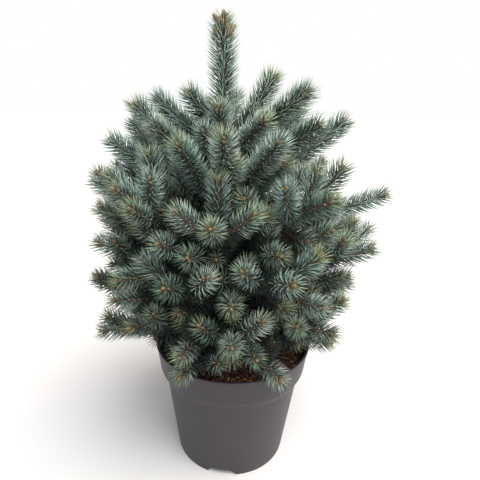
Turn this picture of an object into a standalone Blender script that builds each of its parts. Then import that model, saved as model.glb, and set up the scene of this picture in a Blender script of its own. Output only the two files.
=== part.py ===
"""Potted blue spruce: a young spruce with a crown half a metre tall, in a round 26 cm nursery pot.

Metres, +Z up. The origin is the middle of the pot's foot, on the ground. Azimuth 0 is +X and azimuth
270 is -Y, the side that faces the viewer. The trunk and every bough are single tapering limbs. Each
mass of foliage is one main shoot with side shoots, grown by a rule from the whorl table below.
"""
import math
import random

import bmesh
import bpy
from mathutils import Matrix, Vector, kdtree

# Pot: an injection-moulded container with a deep stepped collar and a notched foot.
POT_HEIGHT = 0.207
POT_RIM_RADIUS = 0.130
POT_RIM_LIP = 0.004
POT_COLLAR_HEIGHT = 0.050
POT_COLLAR_FOOT_RADIUS = 0.1235
POT_NECK_RADIUS = 0.1155
POT_FOOT_RADIUS = 0.0945
POT_WALL = 0.0022
POT_FLOOR_RISE = 0.012
POT_SIDES = 40
NOTCH_AZIMUTHS = (259, 19, 139)
NOTCH_WIDTH = 0.050
NOTCH_TOP_WIDTH = 0.036
NOTCH_HEIGHT = 0.010

# Soil: it fills the pot to two centimetres under the rim and sinks a little towards the wall.
SOIL_LEVEL = 0.187
SOIL_SINK = 0.004
SOIL_FLAT_RADIUS = 0.055

# Trunk: leans slightly to -X, with a root flare, cut flat at the soil.
TRUNK_FOOT = Vector((-0.010, 0.004, SOIL_LEVEL))
TRUNK_TIP = Vector((-0.024, 0.0, 0.695))
TRUNK_FOOT_RADIUS = 0.0115
TRUNK_TIP_RADIUS = 0.0016
TRUNK_FLARE = 0.0065
TRUNK_FLARE_HEIGHT = 0.012
TRUNK_SIDES = 10

# Boughs and shoots.
BOUGH_SIDES = 5
BOUGH_FOOT_RADIUS = 0.0038
BOUGH_TIP_RADIUS = 0.0024
CORE_RADIUS = 0.0080
CORE_TIP_RADIUS = 0.0034
CORE_ROOT_RADIUS = 0.0025
NEEDLE = 0.032
NEEDLE_LEAN = math.radians(50)
TUFT_LEAN = math.radians(30)
NEEDLE_AHEAD = 0.012
BAND = 0.029
GAP = 0.0003
MASS_MARGIN = 0.0012
SHOOT_SPACING = 0.0165
LIMB_SPACING = 0.009
WHORL_STAGGER = 0.004

# Side shoots of a mass: place along its main shoot, side it leaves by (0 to the right, 90 above), angle
# to the main shoot, and length as a part of the main shoot's.
SIDE_SHOOTS = (
    (0.16, -8, 56, 0.58),
    (0.22, 188, 56, 0.58),
    (0.32, -88, 50, 0.44),
    (0.42, 92, 44, 0.44),
    (0.54, 168, 46, 0.44),
    (0.60, 12, 46, 0.44),
)

# Whorls from the top down: name, height on the trunk, rise of the limb at its middle as a part of its
# whole rise, part of the limb that is bare bough, then azimuth, reach from the pot's axis and height
# of the needles' tips for each limb. A whorl with no bare bough has masses that meet the trunk.
WHORLS = (
    ("top", 0.552, 0.50, 0.0, ((15, 0.072, 0.616), (322, 0.100, 0.604), (250, 0.080, 0.584),
                               (172, 0.122, 0.600), (92, 0.090, 0.606))),
    ("upper", 0.474, 0.30, 0.0, ((346, 0.158, 0.570), (292, 0.145, 0.545), (240, 0.150, 0.540),
                                 (193, 0.152, 0.584), (128, 0.155, 0.565), (48, 0.155, 0.570))),
    ("middle", 0.398, 0.22, 0.30, ((354, 0.230, 0.466), (304, 0.203, 0.484), (262, 0.203, 0.456),
                                   (222, 0.208, 0.486), (183, 0.224, 0.474), (130, 0.208, 0.485),
                                   (50, 0.212, 0.484))),
    ("waist", 0.326, 0.20, 0.30, ((338, 0.216, 0.400), (290, 0.210, 0.390), (246, 0.210, 0.380),
                                  (206, 0.218, 0.405), (164, 0.232, 0.398), (104, 0.206, 0.390),
                                  (20, 0.220, 0.400))),
    ("low", 0.266, 0.20, 0.30, ((2, 0.200, 0.308), (316, 0.200, 0.292), (270, 0.196, 0.304),
                                (226, 0.206, 0.300), (184, 0.230, 0.320), (95, 0.205, 0.300))),
    ("skirt", 0.224, 0.20, 0.0, ((342, 0.172, 0.228), (192, 0.224, 0.236), (296, 0.165, 0.222),
                                 (244, 0.170, 0.226), (58, 0.200, 0.240))),
)


def srgb(red, green, blue):
    """Linear colour of an 8-bit sRGB one."""
    return tuple(((c / 255 + 0.055) / 1.055) ** 2.4 if c > 10 else c / 3294 for c in (red, green, blue)) + (1.0,)


def material(name, colour, roughness):
    made = bpy.data.materials.new(name)
    made.use_nodes = True
    shader = made.node_tree.nodes["Principled BSDF"]
    shader.inputs["Base Color"].default_value = colour
    shader.inputs["Roughness"].default_value = roughness
    shader.inputs["Metallic"].default_value = 0.0
    return made


def add_object(name, bm, surface, smooth=True):
    """Turn a finished bmesh into a named object in the scene."""
    mesh = bpy.data.meshes.new(name)
    bmesh.ops.recalc_face_normals(bm, faces=bm.faces)
    bm.to_mesh(mesh)
    bm.free()
    mesh.materials.append(surface)
    if smooth:
        mesh.shade_smooth()
        mesh.set_sharp_from_angle(angle=math.radians(35))
    made = bpy.data.objects.new(name, mesh)
    bpy.context.scene.collection.objects.link(made)
    return made


def turned(profile, sides=POT_SIDES):
    """Spin a profile of (radius, height) pairs once around +Z; it starts and ends on the axis."""
    bm = bmesh.new()
    line = [bm.verts.new((radius, 0.0, height)) for radius, height in profile]
    edges = [bm.edges.new(pair) for pair in zip(line, line[1:])]
    bmesh.ops.spin(bm, geom=line + edges, axis=(0, 0, 1), cent=(0, 0, 0), angle=math.tau, steps=sides,
                   use_merge=True)
    bmesh.ops.remove_doubles(bm, verts=bm.verts, dist=1e-6)
    return bm


def make_pot(surface):
    """Thin wall with a raised floor, a collar that steps out, and three notches in the foot."""
    neck, collar_foot = POT_HEIGHT - POT_COLLAR_HEIGHT, POT_COLLAR_FOOT_RADIUS
    floor_top = POT_FLOOR_RISE + POT_WALL
    profile = [
        (0.0, POT_FLOOR_RISE),
        (POT_FOOT_RADIUS - POT_WALL, POT_FLOOR_RISE),
        (POT_FOOT_RADIUS - POT_WALL, 0.0),
        (POT_FOOT_RADIUS, 0.0),
        (POT_NECK_RADIUS, neck),
        (collar_foot, neck),
        (POT_RIM_RADIUS - 0.0012, POT_HEIGHT - POT_RIM_LIP),
        (POT_RIM_RADIUS, POT_HEIGHT - POT_RIM_LIP),
        (POT_RIM_RADIUS, POT_HEIGHT - 0.0006),
        (POT_RIM_RADIUS - 0.0006, POT_HEIGHT),
        (POT_RIM_RADIUS - 0.0012 - POT_WALL, POT_HEIGHT),
    ] + inner_wall(0.0) + [(0.0, floor_top)]
    pot = add_object("pot", turned(profile), surface)

    bm = bmesh.new()
    for azimuth in NOTCH_AZIMUTHS:
        near, far = POT_FOOT_RADIUS - 4 * POT_WALL, POT_FOOT_RADIUS + 3 * POT_WALL
        outline = ((-NOTCH_WIDTH / 2, -0.002), (NOTCH_WIDTH / 2, -0.002),
                   (NOTCH_TOP_WIDTH / 2, NOTCH_HEIGHT), (-NOTCH_TOP_WIDTH / 2, NOTCH_HEIGHT))
        face = bm.faces.new([bm.verts.new((near, y, z)) for y, z in outline])
        grown = bmesh.ops.extrude_face_region(bm, geom=[face])
        moved = [v for v in grown["geom"] if isinstance(v, bmesh.types.BMVert)]
        bmesh.ops.translate(bm, verts=moved, vec=(far - near, 0, 0))
        prism = moved + list(face.verts)
        bmesh.ops.rotate(bm, verts=prism, cent=(0, 0, 0), matrix=Matrix.Rotation(math.radians(azimuth), 3, "Z"))
    cutter = add_object("foot_notches", bm, surface, smooth=False)
    cutter.hide_render = True
    cutter.display_type = "WIRE"
    cut = pot.modifiers.new("foot notches", "BOOLEAN")
    cut.operation = "DIFFERENCE"
    cut.object = cutter
    return pot


def inner_wall(clear):
    """The pot's inner face from under the rim to the floor, or a line that much inside it."""
    shelf = POT_HEIGHT - POT_COLLAR_HEIGHT + POT_WALL + clear
    return [
        (POT_COLLAR_FOOT_RADIUS - POT_WALL - clear, shelf + POT_WALL / 2),
        (POT_NECK_RADIUS - POT_WALL - clear, shelf),
        (POT_FOOT_RADIUS - POT_WALL - clear + 0.0019, POT_FLOOR_RISE + POT_WALL + clear),
    ]


def make_soil(surface):
    """Growing medium that fills the pot, flat round the trunk's foot."""
    shelf = inner_wall(GAP)
    lift = (SOIL_LEVEL - SOIL_SINK - shelf[0][1]) / (POT_HEIGHT - shelf[0][1])
    edge = shelf[0][0] + lift * (POT_RIM_RADIUS - 0.0012 - POT_COLLAR_FOOT_RADIUS)
    profile = [(0.0, SOIL_LEVEL), (SOIL_FLAT_RADIUS, SOIL_LEVEL), (edge - 0.0006, SOIL_LEVEL - SOIL_SINK)]
    profile += shelf + [(0.0, shelf[-1][1])]
    return add_object("soil", turned(profile), surface)


def trunk_point(height):
    """Middle of the trunk at a height; most of the lean is near the foot."""
    up = (height - TRUNK_FOOT.z) / (TRUNK_TIP.z - TRUNK_FOOT.z)
    x = TRUNK_FOOT.x + (TRUNK_TIP.x - TRUNK_FOOT.x) * math.sqrt(max(up, 0.0))
    return Vector((x, TRUNK_FOOT.y * (1 - up), height))


def trunk_radius(height):
    up = (height - TRUNK_FOOT.z) / (TRUNK_TIP.z - TRUNK_FOOT.z)
    straight = TRUNK_TIP_RADIUS + (TRUNK_FOOT_RADIUS - TRUNK_TIP_RADIUS) * (1 - up) ** 0.9
    return straight + TRUNK_FLARE * math.exp(-(height - TRUNK_FOOT.z) / TRUNK_FLARE_HEIGHT)


def frame_at(direction):
    """Two unit vectors square to a direction, the first as near to +Z as it goes."""
    reference = Vector((0, 0, 1)) if abs(direction.z) < 0.95 else Vector((1, 0, 0))
    first = (reference - direction * reference.dot(direction)).normalized()
    return first, direction.cross(first)


def tube(rings, sides):
    """Closed tapering tube through rings of (middle, direction, radius)."""
    bm = bmesh.new()
    loops = []
    for middle, direction, radius in rings:
        first, second = frame_at(direction)
        loops.append([bm.verts.new(middle + radius * (math.cos(a) * first + math.sin(a) * second))
                      for a in (math.tau * k / sides for k in range(sides))])
    for low, high in zip(loops, loops[1:]):
        for k in range(sides):
            bm.faces.new((low[k], low[(k + 1) % sides], high[(k + 1) % sides], high[k]))
    bm.faces.new(loops[0][::-1])
    bm.faces.new(loops[-1])
    return bm


def make_trunk(name, surface, grow=0.0, foot=SOIL_LEVEL + GAP, tip=TRUNK_TIP.z):
    """The trunk, or with grow a slightly thicker copy of it that cuts its neighbours clear."""
    heights = [foot, SOIL_LEVEL + 0.005, SOIL_LEVEL + 0.012, SOIL_LEVEL + 0.025]
    heights += [SOIL_LEVEL + 0.025 + (TRUNK_TIP.z - SOIL_LEVEL - 0.025) * k / 8 for k in range(1, 8)] + [tip]
    rings = [(trunk_point(min(h, TRUNK_TIP.z)) + Vector((0, 0, max(0.0, h - TRUNK_TIP.z))), Vector((0, 0, 1)),
              trunk_radius(min(h, TRUNK_TIP.z)) + grow) for h in heights]
    return add_object(name, tube(rings, TRUNK_SIDES), surface)


class Curve:
    """Quadratic curve read by distance along it."""

    def __init__(self, start, control, end, steps=60):
        self.points = [start * (1 - t) ** 2 + control * 2 * t * (1 - t) + end * t * t
                       for t in (k / steps for k in range(steps + 1))]
        self.run = [0.0]
        for a, b in zip(self.points, self.points[1:]):
            self.run.append(self.run[-1] + (b - a).length)
        self.length = self.run[-1]

    def place(self, distance):
        """Point and direction that far along; past the ends it runs on straight."""
        k = 0
        while k < len(self.run) - 2 and self.run[k + 1] < distance:
            k += 1
        direction = (self.points[k + 1] - self.points[k]).normalized()
        return self.points[k] + direction * (distance - self.run[k]), direction


def limb_curve(height, rise, azimuth, reach, tip_height):
    """Curve of one limb, from the trunk's middle to just behind the tips of its last needles."""
    start = trunk_point(height)
    turn = math.radians(azimuth)
    end = Vector((reach * math.cos(turn), reach * math.sin(turn), tip_height))
    back = end - start
    end = end - back.normalized() * NEEDLE_AHEAD
    control = start + Vector((back.x * 0.5, back.y * 0.5, back.z * rise))
    return Curve(start, control, end)


class Shoot:
    """A length of twig that carries needles: a part of a curve, in a mass."""

    def __init__(self, mass, curve, start, sides=3, lean=NEEDLE_LEAN, band=BAND):
        self.mass, self.curve, self.start, self.sides, self.lean = mass, curve, start, sides, lean
        self.length = curve.length - start
        self.bands = max(2, round(self.length / band))
        steps = max(3, round(self.length / 0.004))
        self.line = [curve.place(start + self.length * k / steps)[0] for k in range(steps + 1)]

    def radius(self, along):
        """The core is thin at its root, swells, and tapers to its tip."""
        swell = CORE_RADIUS + (CORE_TIP_RADIUS - CORE_RADIUS) * along
        return swell if along > 0.05 else CORE_ROOT_RADIUS


def side_curve(parent, place, side, turn, length, rng):
    """A side shoot leaves its parent by one side and at an angle, and bends a little upwards."""
    start, direction = parent.place(place)
    up, across = frame_at(direction)
    roll = math.radians(side + rng.uniform(-12, 12))
    side = up * math.sin(roll) - across * math.cos(roll)
    angle = math.radians(turn + rng.uniform(-6, 6))
    leaving = direction * math.cos(angle) + side * math.sin(angle)
    end = start + leaving * length + Vector((0, 0, 0.10 * length))
    return Curve(start, start + leaving * length * 0.5, end, steps=12)


def tree_of(points):
    """Search tree of points, or None for an empty list."""
    if not points:
        return None
    made = kdtree.KDTree(len(points))
    for k, point in enumerate(points):
        made.insert(point, k)
    made.balance()
    return made


def distance(tree, point):
    return tree.find(point)[2] if tree else 1.0


def grow_crown():
    """Every limb and every shoot of the crown; a side shoot with too little room is left out."""
    rng = random.Random(52)
    boughs, mains = [], []
    for whorl, height, rise, bare, limbs in WHORLS:
        for number, (azimuth, reach, tip_height) in enumerate(limbs, 1):
            label = f"{whorl}_{number}"
            step = WHORL_STAGGER * ((3 * number) % 7 - 3)
            curve = limb_curve(height + step, rise, azimuth, reach, tip_height)
            stop = curve.length * bare
            if bare:
                boughs.append((label, curve, stop))
            mains.append(Shoot(label, curve, stop + GAP if bare else 0.0))
    limb_points = [(trunk_point(h), trunk_radius(h)) for h in
                   (SOIL_LEVEL + 0.004 * k for k in range(int((TRUNK_TIP.z - SOIL_LEVEL) / 0.004)))]
    for _, curve, stop in boughs:
        limb_points += [(curve.place(stop * k / 20)[0], BOUGH_FOOT_RADIUS) for k in range(21)]
    shoots = list(mains)
    limbs = tree_of([point for point, _ in limb_points])
    for main in mains:
        for place, side, turn, part in SIDE_SHOOTS:
            curve = side_curve(main.curve, main.start + main.length * place, side, turn, main.length * part, rng)
            side = Shoot(main.mass, curve, 0.0)
            outer = side.line[len(side.line) // 4:]
            others = tree_of([p for s in shoots if s.mass != main.mass for p in s.line])
            siblings = tree_of([p for s in shoots if s.mass == main.mass for p in s.line])
            roomy = all(distance(others, p) > SHOOT_SPACING and distance(limbs, p) > LIMB_SPACING and
                        clear_of_pot(p, 0.012) for p in outer)
            roomy = roomy and all(distance(siblings, p) > SHOOT_SPACING for p in side.line[len(side.line) // 2:])
            if roomy:
                shoots.append(side)
    return boughs, shoots, limb_points


def clear_of_pot(point, clear):
    """Whether a point keeps clear of the pot and the soil."""
    out = math.hypot(point.x, point.y)
    inside = POT_RIM_RADIUS - 3 * POT_WALL - clear
    return point.z > (SOIL_LEVEL if out < inside else POT_HEIGHT if out < POT_RIM_RADIUS + clear else 0.15) + clear


def make_spray(name, shoot, trees, rng, surface):
    """Slim core of twisted bands whose three-cornered faces are drawn out into needles.

    A needle that would come nearer to another mass's shoot than to its own, or touch a limb or the pot,
    is left out, so the face stays flat there.
    """
    foreign, siblings, limbs = trees
    bands, sides = shoot.bands, shoot.sides
    bm = bmesh.new()
    loops, axis = [], []
    for i in range(bands + 1):
        middle, direction = shoot.curve.place(shoot.start + shoot.length * i / bands)
        first, second = frame_at(direction)
        axis.append((middle, direction))
        radius = shoot.radius(i / bands)
        loops.append([bm.verts.new(middle + radius * (math.cos(a) * first + math.sin(a) * second))
                      for a in (math.tau * (k + i / 2) / sides for k in range(sides))])
    needles = []
    for i, (low, high) in enumerate(zip(loops, loops[1:])):
        for k in range(sides):
            after = (k + 1) % sides
            needles.append((i, bm.faces.new((low[k], low[after], high[k]))))
            needles.append((i, bm.faces.new((high[k], low[after], high[after]))))
    bm.faces.new(loops[0][::-1])
    bud = bm.verts.new(axis[-1][0] + axis[-1][1] * 2.5 * shoot.radius(1.0))
    for k in range(sides):
        bm.faces.new((loops[-1][k], loops[-1][(k + 1) % sides], bud))

    own = tree_of(shoot.line)
    for i, face in needles:
        middle, direction = shoot.curve.place(shoot.start + shoot.length * (i + 0.5) / bands)
        centre = face.calc_center_median()
        out = centre - middle
        out = (out - direction * out.dot(direction)).normalized()
        lean = shoot.lean if i < bands - 1 else TUFT_LEAN
        length = NEEDLE * rng.uniform(0.86, 1.06)
        tip = centre + (direction * math.cos(lean) + out * math.sin(lean)) * length
        edges = [corner.co.lerp(tip, part) for corner in face.verts for part in (0.45, 0.7, 0.9, 1.0)]
        kept = all(
            distance(foreign, p) > distance(own, p) + MASS_MARGIN
            and distance(siblings, p) > distance(own, p)
            and all((p - limbs[1][k][0]).length > limbs[1][k][1] + 0.002 for _, k, _ in limbs[0].find_n(p, 2))
            and clear_of_pot(p, 0.003)
            for p in edges)
        if kept:
            bmesh.ops.poke(bm, faces=[face])["verts"][0].co = tip
    return add_object(name, bm, surface, smooth=False)


def settle(body):
    """Apply an object's modifiers and keep its outer skin, with no loose scrap and no sealed hollow."""
    bpy.context.view_layer.update()
    mesh = bpy.data.meshes.new_from_object(body.evaluated_get(bpy.context.evaluated_depsgraph_get()))
    body.modifiers.clear()
    bm = bmesh.new()
    bm.from_mesh(mesh)
    left, skins = set(bm.faces), []
    while left:
        skin, edge = set(), [left.pop()]
        while edge:
            face = edge.pop()
            skin.add(face)
            near = {f for e in face.edges for f in e.link_faces if f in left}
            left -= near
            edge += near
        skins.append(skin)
    largest = max(skins, key=lambda skin: sum(face.calc_area() for face in skin))
    bmesh.ops.delete(bm, geom=[face for face in bm.faces if face not in largest], context="FACES")
    bm.to_mesh(mesh)
    bm.free()
    body.data = mesh


def join(body, others, solver="EXACT"):
    """Union a list of objects into body and remove them."""
    group = bpy.data.collections.new(body.name + "_parts")
    bpy.context.scene.collection.children.link(group)
    for other in others:
        bpy.context.scene.collection.objects.unlink(other)
        group.objects.link(other)
    union = body.modifiers.new("join", "BOOLEAN")
    union.operation = "UNION"
    union.operand_type = "COLLECTION"
    union.collection = group
    union.solver = solver
    settle(body)
    for other in others:
        bpy.data.objects.remove(other)
    bpy.data.collections.remove(group)


def cut_clear(body, cutter):
    """Keep a limb, or a mass that meets the trunk, just clear of the trunk."""
    cut = body.modifiers.new("clear of the trunk", "BOOLEAN")
    cut.operation = "DIFFERENCE"
    cut.object = cutter
    settle(body)


def main():
    for old in list(bpy.data.objects):
        bpy.data.objects.remove(old)
    plastic = material("taupe plastic", srgb(98, 90, 90), 0.55)
    peat = material("bark compost", srgb(66, 46, 38), 0.95)
    bark = material("spruce bark", srgb(112, 88, 66), 0.85)
    foliage = material("blue-green needles", srgb(108, 132, 128), 0.65)

    make_pot(plastic)
    make_soil(peat)
    make_trunk("trunk", bark)
    clear_trunk = make_trunk("trunk_clearance", bark, GAP, SOIL_LEVEL - 0.010, TRUNK_TIP.z + 0.020)
    clear_trunk.hide_render = True
    clear_trunk.display_type = "WIRE"

    boughs, shoots, limb_points = grow_crown()
    for label, curve, stop in boughs:
        rings = []
        for k in range(4):
            middle, direction = curve.place(stop * k / 3)
            radius = BOUGH_FOOT_RADIUS + (BOUGH_TIP_RADIUS - BOUGH_FOOT_RADIUS) * k / 3
            rings.append((middle, direction, radius))
        cut_clear(add_object(f"bough_{label}", tube(rings, BOUGH_SIDES), bark), clear_trunk)

    leader_curve = Curve(trunk_point(0.580), trunk_point(0.634), trunk_point(0.688), steps=20)
    leader = Shoot("leader", leader_curve, 0.0, sides=5, lean=math.radians(44), band=0.018)
    leader.radius = lambda along: 0.0072 - 0.0026 * along
    shoots.append(leader)
    print(len(boughs), "boughs and", len(shoots), "shoots")

    rng = random.Random(7)
    limb_tree = tree_of([point for point, _ in limb_points])
    masses = {}
    for shoot in shoots:
        foreign = tree_of([p for s in shoots if s.mass != shoot.mass for p in s.line])
        siblings = tree_of([p for s in shoots if s.mass == shoot.mass and s is not shoot for p in s.line])
        near = (tree_of([Vector((9, 9, 9))]), [(Vector((9, 9, 9)), 0.0)]) if shoot is leader else (limb_tree, limb_points)
        members = masses.setdefault(shoot.mass, [])
        members.append(make_spray(f"{shoot.mass}_shoot_{len(members)}", shoot, (foreign, siblings, near), rng, foliage))
    bare = {label for label, _, _ in boughs}
    for label, members in masses.items():
        mass = members[0]
        if members[1:]:
            join(mass, members[1:])
        mass.name = f"mass_{label}"
        if label not in bare:
            cut_clear(mass, clear_trunk)


main()
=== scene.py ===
# %% [markdown]
# # A potted blue spruce
#
# This lesson dresses a young blue spruce that stands in a nursery pot. The solids of the plant are
# already there, as a fixed frame: a trunk, boughs, rough masses for the foliage, a pot, its soil.
# Each step below puts the real surface in the place of one of them, with bark, twigs, buds,
# needles, moulded plastic and composted bark, all in metres and in the frame's own coordinates.

# %% Load the frame and keep its box
import math
import random
from functools import partial

import bmesh
import bpy
from mathutils import Matrix, Vector, kdtree, noise


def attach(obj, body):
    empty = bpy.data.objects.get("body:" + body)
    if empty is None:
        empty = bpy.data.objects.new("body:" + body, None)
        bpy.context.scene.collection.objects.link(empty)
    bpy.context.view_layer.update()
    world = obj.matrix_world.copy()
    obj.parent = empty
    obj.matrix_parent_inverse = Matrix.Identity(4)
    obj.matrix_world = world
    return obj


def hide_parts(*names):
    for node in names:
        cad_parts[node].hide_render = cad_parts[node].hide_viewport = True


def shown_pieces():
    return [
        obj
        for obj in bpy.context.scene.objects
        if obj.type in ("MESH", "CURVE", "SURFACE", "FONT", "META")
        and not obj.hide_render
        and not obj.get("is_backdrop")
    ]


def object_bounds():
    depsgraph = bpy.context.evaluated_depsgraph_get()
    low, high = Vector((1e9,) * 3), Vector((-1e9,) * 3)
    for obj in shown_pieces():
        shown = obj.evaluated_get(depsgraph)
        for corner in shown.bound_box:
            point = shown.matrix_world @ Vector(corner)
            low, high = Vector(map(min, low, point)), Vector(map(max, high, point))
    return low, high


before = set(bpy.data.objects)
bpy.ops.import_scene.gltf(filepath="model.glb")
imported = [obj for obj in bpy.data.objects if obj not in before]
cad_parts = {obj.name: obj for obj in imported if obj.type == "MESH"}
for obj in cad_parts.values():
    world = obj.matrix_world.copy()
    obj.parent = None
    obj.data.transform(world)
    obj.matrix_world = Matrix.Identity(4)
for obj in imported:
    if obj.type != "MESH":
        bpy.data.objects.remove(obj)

SOLID_BOX = [[float(c) for c in corner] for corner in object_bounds()]
print(len(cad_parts), "nodes, box", [[round(c, 4) for c in corner] for corner in SOLID_BOX])

# %% [markdown]
# ## Two helpers
#
# Colours are picked as hex values, which are sRGB, while a shader wants linear numbers, so one
# function turns them. Node trees are built by one more function that adds any node, sets its
# properties and fills its inputs: a value is typed in, a socket is linked, and a node stands for
# the first of its outputs that is in use.


# %% Colour and node helpers
def colour(hex_value):
    """Linear colour with alpha from an sRGB hex value such as 'a0b4ac'."""
    parts = [int(hex_value[i:i + 2], 16) / 255 for i in (0, 2, 4)]
    linear = [c / 12.92 if c <= 0.04045 else ((c + 0.055) / 1.055) ** 2.4 for c in parts]
    return (*linear, 1.0)


def add_node(tree, kind, inputs=None, **settings):
    """Add a node, set its properties, then type in or link its inputs."""
    node = tree.nodes.new(kind)
    for name, value in settings.items():
        setattr(node, name, value)
    for key, value in (inputs or {}).items():
        if isinstance(value, bpy.types.Node):
            value = next(socket for socket in value.outputs if socket.enabled)
        if isinstance(value, bpy.types.NodeSocket):
            tree.links.new(value, node.inputs[key])
        else:
            node.inputs[key].default_value = value
    return node


print("mid needle colour, linear:", [round(c, 3) for c in colour("7f9c9a")[:3]])

# %% [markdown]
# ## The growing rule
#
# A spruce grows a leader and, every spring, a ring of boughs under it, called a whorl. The rule
# that made the solids is written again here with the same sizes and the same seed, so that most
# twigs run through the middle of their solids. A table says where each limb ends, a curve bends it
# up, and side shoots leave it in pairs.

# %% Sizes of the trunk and the limbs
SOIL_LEVEL = 0.187
POT_HEIGHT, POT_RIM_RADIUS, POT_WALL = 0.207, 0.130, 0.0022
TRUNK_FOOT = Vector((-0.010, 0.004, SOIL_LEVEL))
TRUNK_TIP = Vector((-0.024, 0.0, 0.695))
TRUNK_FOOT_RADIUS, TRUNK_TIP_RADIUS = 0.0115, 0.0016
TRUNK_FLARE, TRUNK_FLARE_HEIGHT = 0.0065, 0.012
BOUGH_FOOT_RADIUS, BOUGH_TIP_RADIUS = 0.0038, 0.0024
NEEDLE_AHEAD = 0.012
GAP = 0.0003
SHOOT_SPACING, LIMB_SPACING = 0.0165, 0.009
WHORL_STAGGER = 0.004
POINT_SPACING = 0.004

# Place along the main shoot, side it leaves by, angle to the main shoot, part of its length.
SIDE_SHOOTS = (
    (0.16, -8, 56, 0.58),
    (0.22, 188, 56, 0.58),
    (0.32, -88, 50, 0.44),
    (0.42, 92, 44, 0.44),
    (0.54, 168, 46, 0.44),
    (0.60, 12, 46, 0.44),
)
# How many degrees a side shoot may stray round its parent and from its angle, and how it lifts.
STRAY_ROUND, STRAY_ANGLE, SIDE_LIFT = 12, 6, 0.10

# Name, height on the trunk, rise at the middle, bare part, then azimuth, reach and tip height.
WHORLS = (
    ("top", 0.552, 0.50, 0.0, ((15, 0.072, 0.616), (322, 0.100, 0.604), (250, 0.080, 0.584),
                               (172, 0.122, 0.600), (92, 0.090, 0.606))),
    ("upper", 0.474, 0.30, 0.0, ((346, 0.158, 0.570), (292, 0.145, 0.545), (240, 0.150, 0.540),
                                 (193, 0.152, 0.584), (128, 0.155, 0.565), (48, 0.155, 0.570))),
    ("middle", 0.398, 0.22, 0.30, ((354, 0.230, 0.466), (304, 0.203, 0.484), (262, 0.203, 0.456),
                                   (222, 0.208, 0.486), (183, 0.224, 0.474), (130, 0.208, 0.485),
                                   (50, 0.212, 0.484))),
    ("waist", 0.326, 0.20, 0.30, ((338, 0.216, 0.400), (290, 0.210, 0.390), (246, 0.210, 0.380),
                                  (206, 0.218, 0.405), (164, 0.232, 0.398), (104, 0.206, 0.390),
                                  (20, 0.220, 0.400))),
    ("low", 0.266, 0.20, 0.30, ((2, 0.200, 0.308), (316, 0.200, 0.292), (270, 0.196, 0.304),
                                (226, 0.206, 0.300), (184, 0.230, 0.320), (95, 0.205, 0.300))),
    ("skirt", 0.224, 0.20, 0.0, ((342, 0.172, 0.228), (192, 0.224, 0.236), (296, 0.165, 0.222),
                                 (244, 0.170, 0.226), (58, 0.200, 0.240))),
)
print("limbs in the table:", sum(len(limbs) for *_, limbs in WHORLS))


# %% Curves of the trunk and the limbs
def trunk_point(height):
    up = (height - TRUNK_FOOT.z) / (TRUNK_TIP.z - TRUNK_FOOT.z)
    x = TRUNK_FOOT.x + (TRUNK_TIP.x - TRUNK_FOOT.x) * math.sqrt(max(up, 0.0))
    return Vector((x, TRUNK_FOOT.y * (1 - up), height))


def trunk_radius(height):
    up = (height - TRUNK_FOOT.z) / (TRUNK_TIP.z - TRUNK_FOOT.z)
    straight = TRUNK_TIP_RADIUS + (TRUNK_FOOT_RADIUS - TRUNK_TIP_RADIUS) * (1 - up) ** 0.9
    return straight + TRUNK_FLARE * math.exp(-(height - TRUNK_FOOT.z) / TRUNK_FLARE_HEIGHT)


def frame_at(direction):
    """Two unit vectors square to a direction, the first as near to +Z as it goes."""
    reference = Vector((0, 0, 1)) if abs(direction.z) < 0.95 else Vector((1, 0, 0))
    first = (reference - direction * reference.dot(direction)).normalized()
    return first, direction.cross(first)


# %% Curves that are read by distance
class Curve:
    """Line of points read by distance along it."""

    def __init__(self, points):
        self.points, self.run = points, [0.0]
        for a, b in zip(points, points[1:]):
            self.run.append(self.run[-1] + (b - a).length)
        self.length = self.run[-1]

    def place(self, distance):
        k = 0
        while k < len(self.run) - 2 and self.run[k + 1] < distance:
            k += 1
        direction = (self.points[k + 1] - self.points[k]).normalized()
        return self.points[k] + direction * (distance - self.run[k]), direction


def bent(start, control, end, steps=60):
    """Quadratic curve from start to end."""
    return Curve([start * (1 - t) ** 2 + control * 2 * t * (1 - t) + end * t * t
                  for t in (k / steps for k in range(steps + 1))])


def limb_curve(height, rise, azimuth, reach, tip_height):
    start = trunk_point(height)
    turn = math.radians(azimuth)
    end = Vector((reach * math.cos(turn), reach * math.sin(turn), tip_height))
    back = end - start
    end = end - back.normalized() * NEEDLE_AHEAD
    return bent(start, start + Vector((back.x * 0.5, back.y * 0.5, back.z * rise)), end)


# %% Shoots and their side shoots
class Shoot:
    """A length of twig that carries needles: a part of a curve, in a mass."""

    def __init__(self, mass, curve, start, order):
        self.mass, self.curve, self.start, self.order = mass, curve, start, order
        self.length = curve.length - start
        steps = max(3, round(self.length / POINT_SPACING))
        self.line = [curve.place(start + self.length * k / steps)[0] for k in range(steps + 1)]
        self.outer_half = self.line[len(self.line) // 2:]


def side_curve(parent, place, side, turn, length, rng):
    """A side shoot leaves its parent by one side and at an angle, and bends a little upwards."""
    start, direction = parent.place(place)
    up, across = frame_at(direction)
    roll = math.radians(side + rng.uniform(-STRAY_ROUND, STRAY_ROUND))
    side = up * math.sin(roll) - across * math.cos(roll)
    angle = math.radians(turn + rng.uniform(-STRAY_ANGLE, STRAY_ANGLE))
    leaving = direction * math.cos(angle) + side * math.sin(angle)
    end = start + leaving * length + Vector((0, 0, SIDE_LIFT * length))
    return bent(start, start + leaving * length * 0.5, end, steps=12)


def turned_up(curve, rise):
    """The same shoot bent to the light, its tip higher by rise times its length."""
    last = len(curve.points) - 1
    return Curve([p + Vector((0, 0, rise * curve.length * (k / last) ** 2))
                  for k, p in enumerate(curve.points)])


# %% Room for a twig
POT_CLEARANCE, TWIG_POT_CLEARANCE = 0.012, 0.010
POT_SIDE_TOP = 0.15


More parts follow.
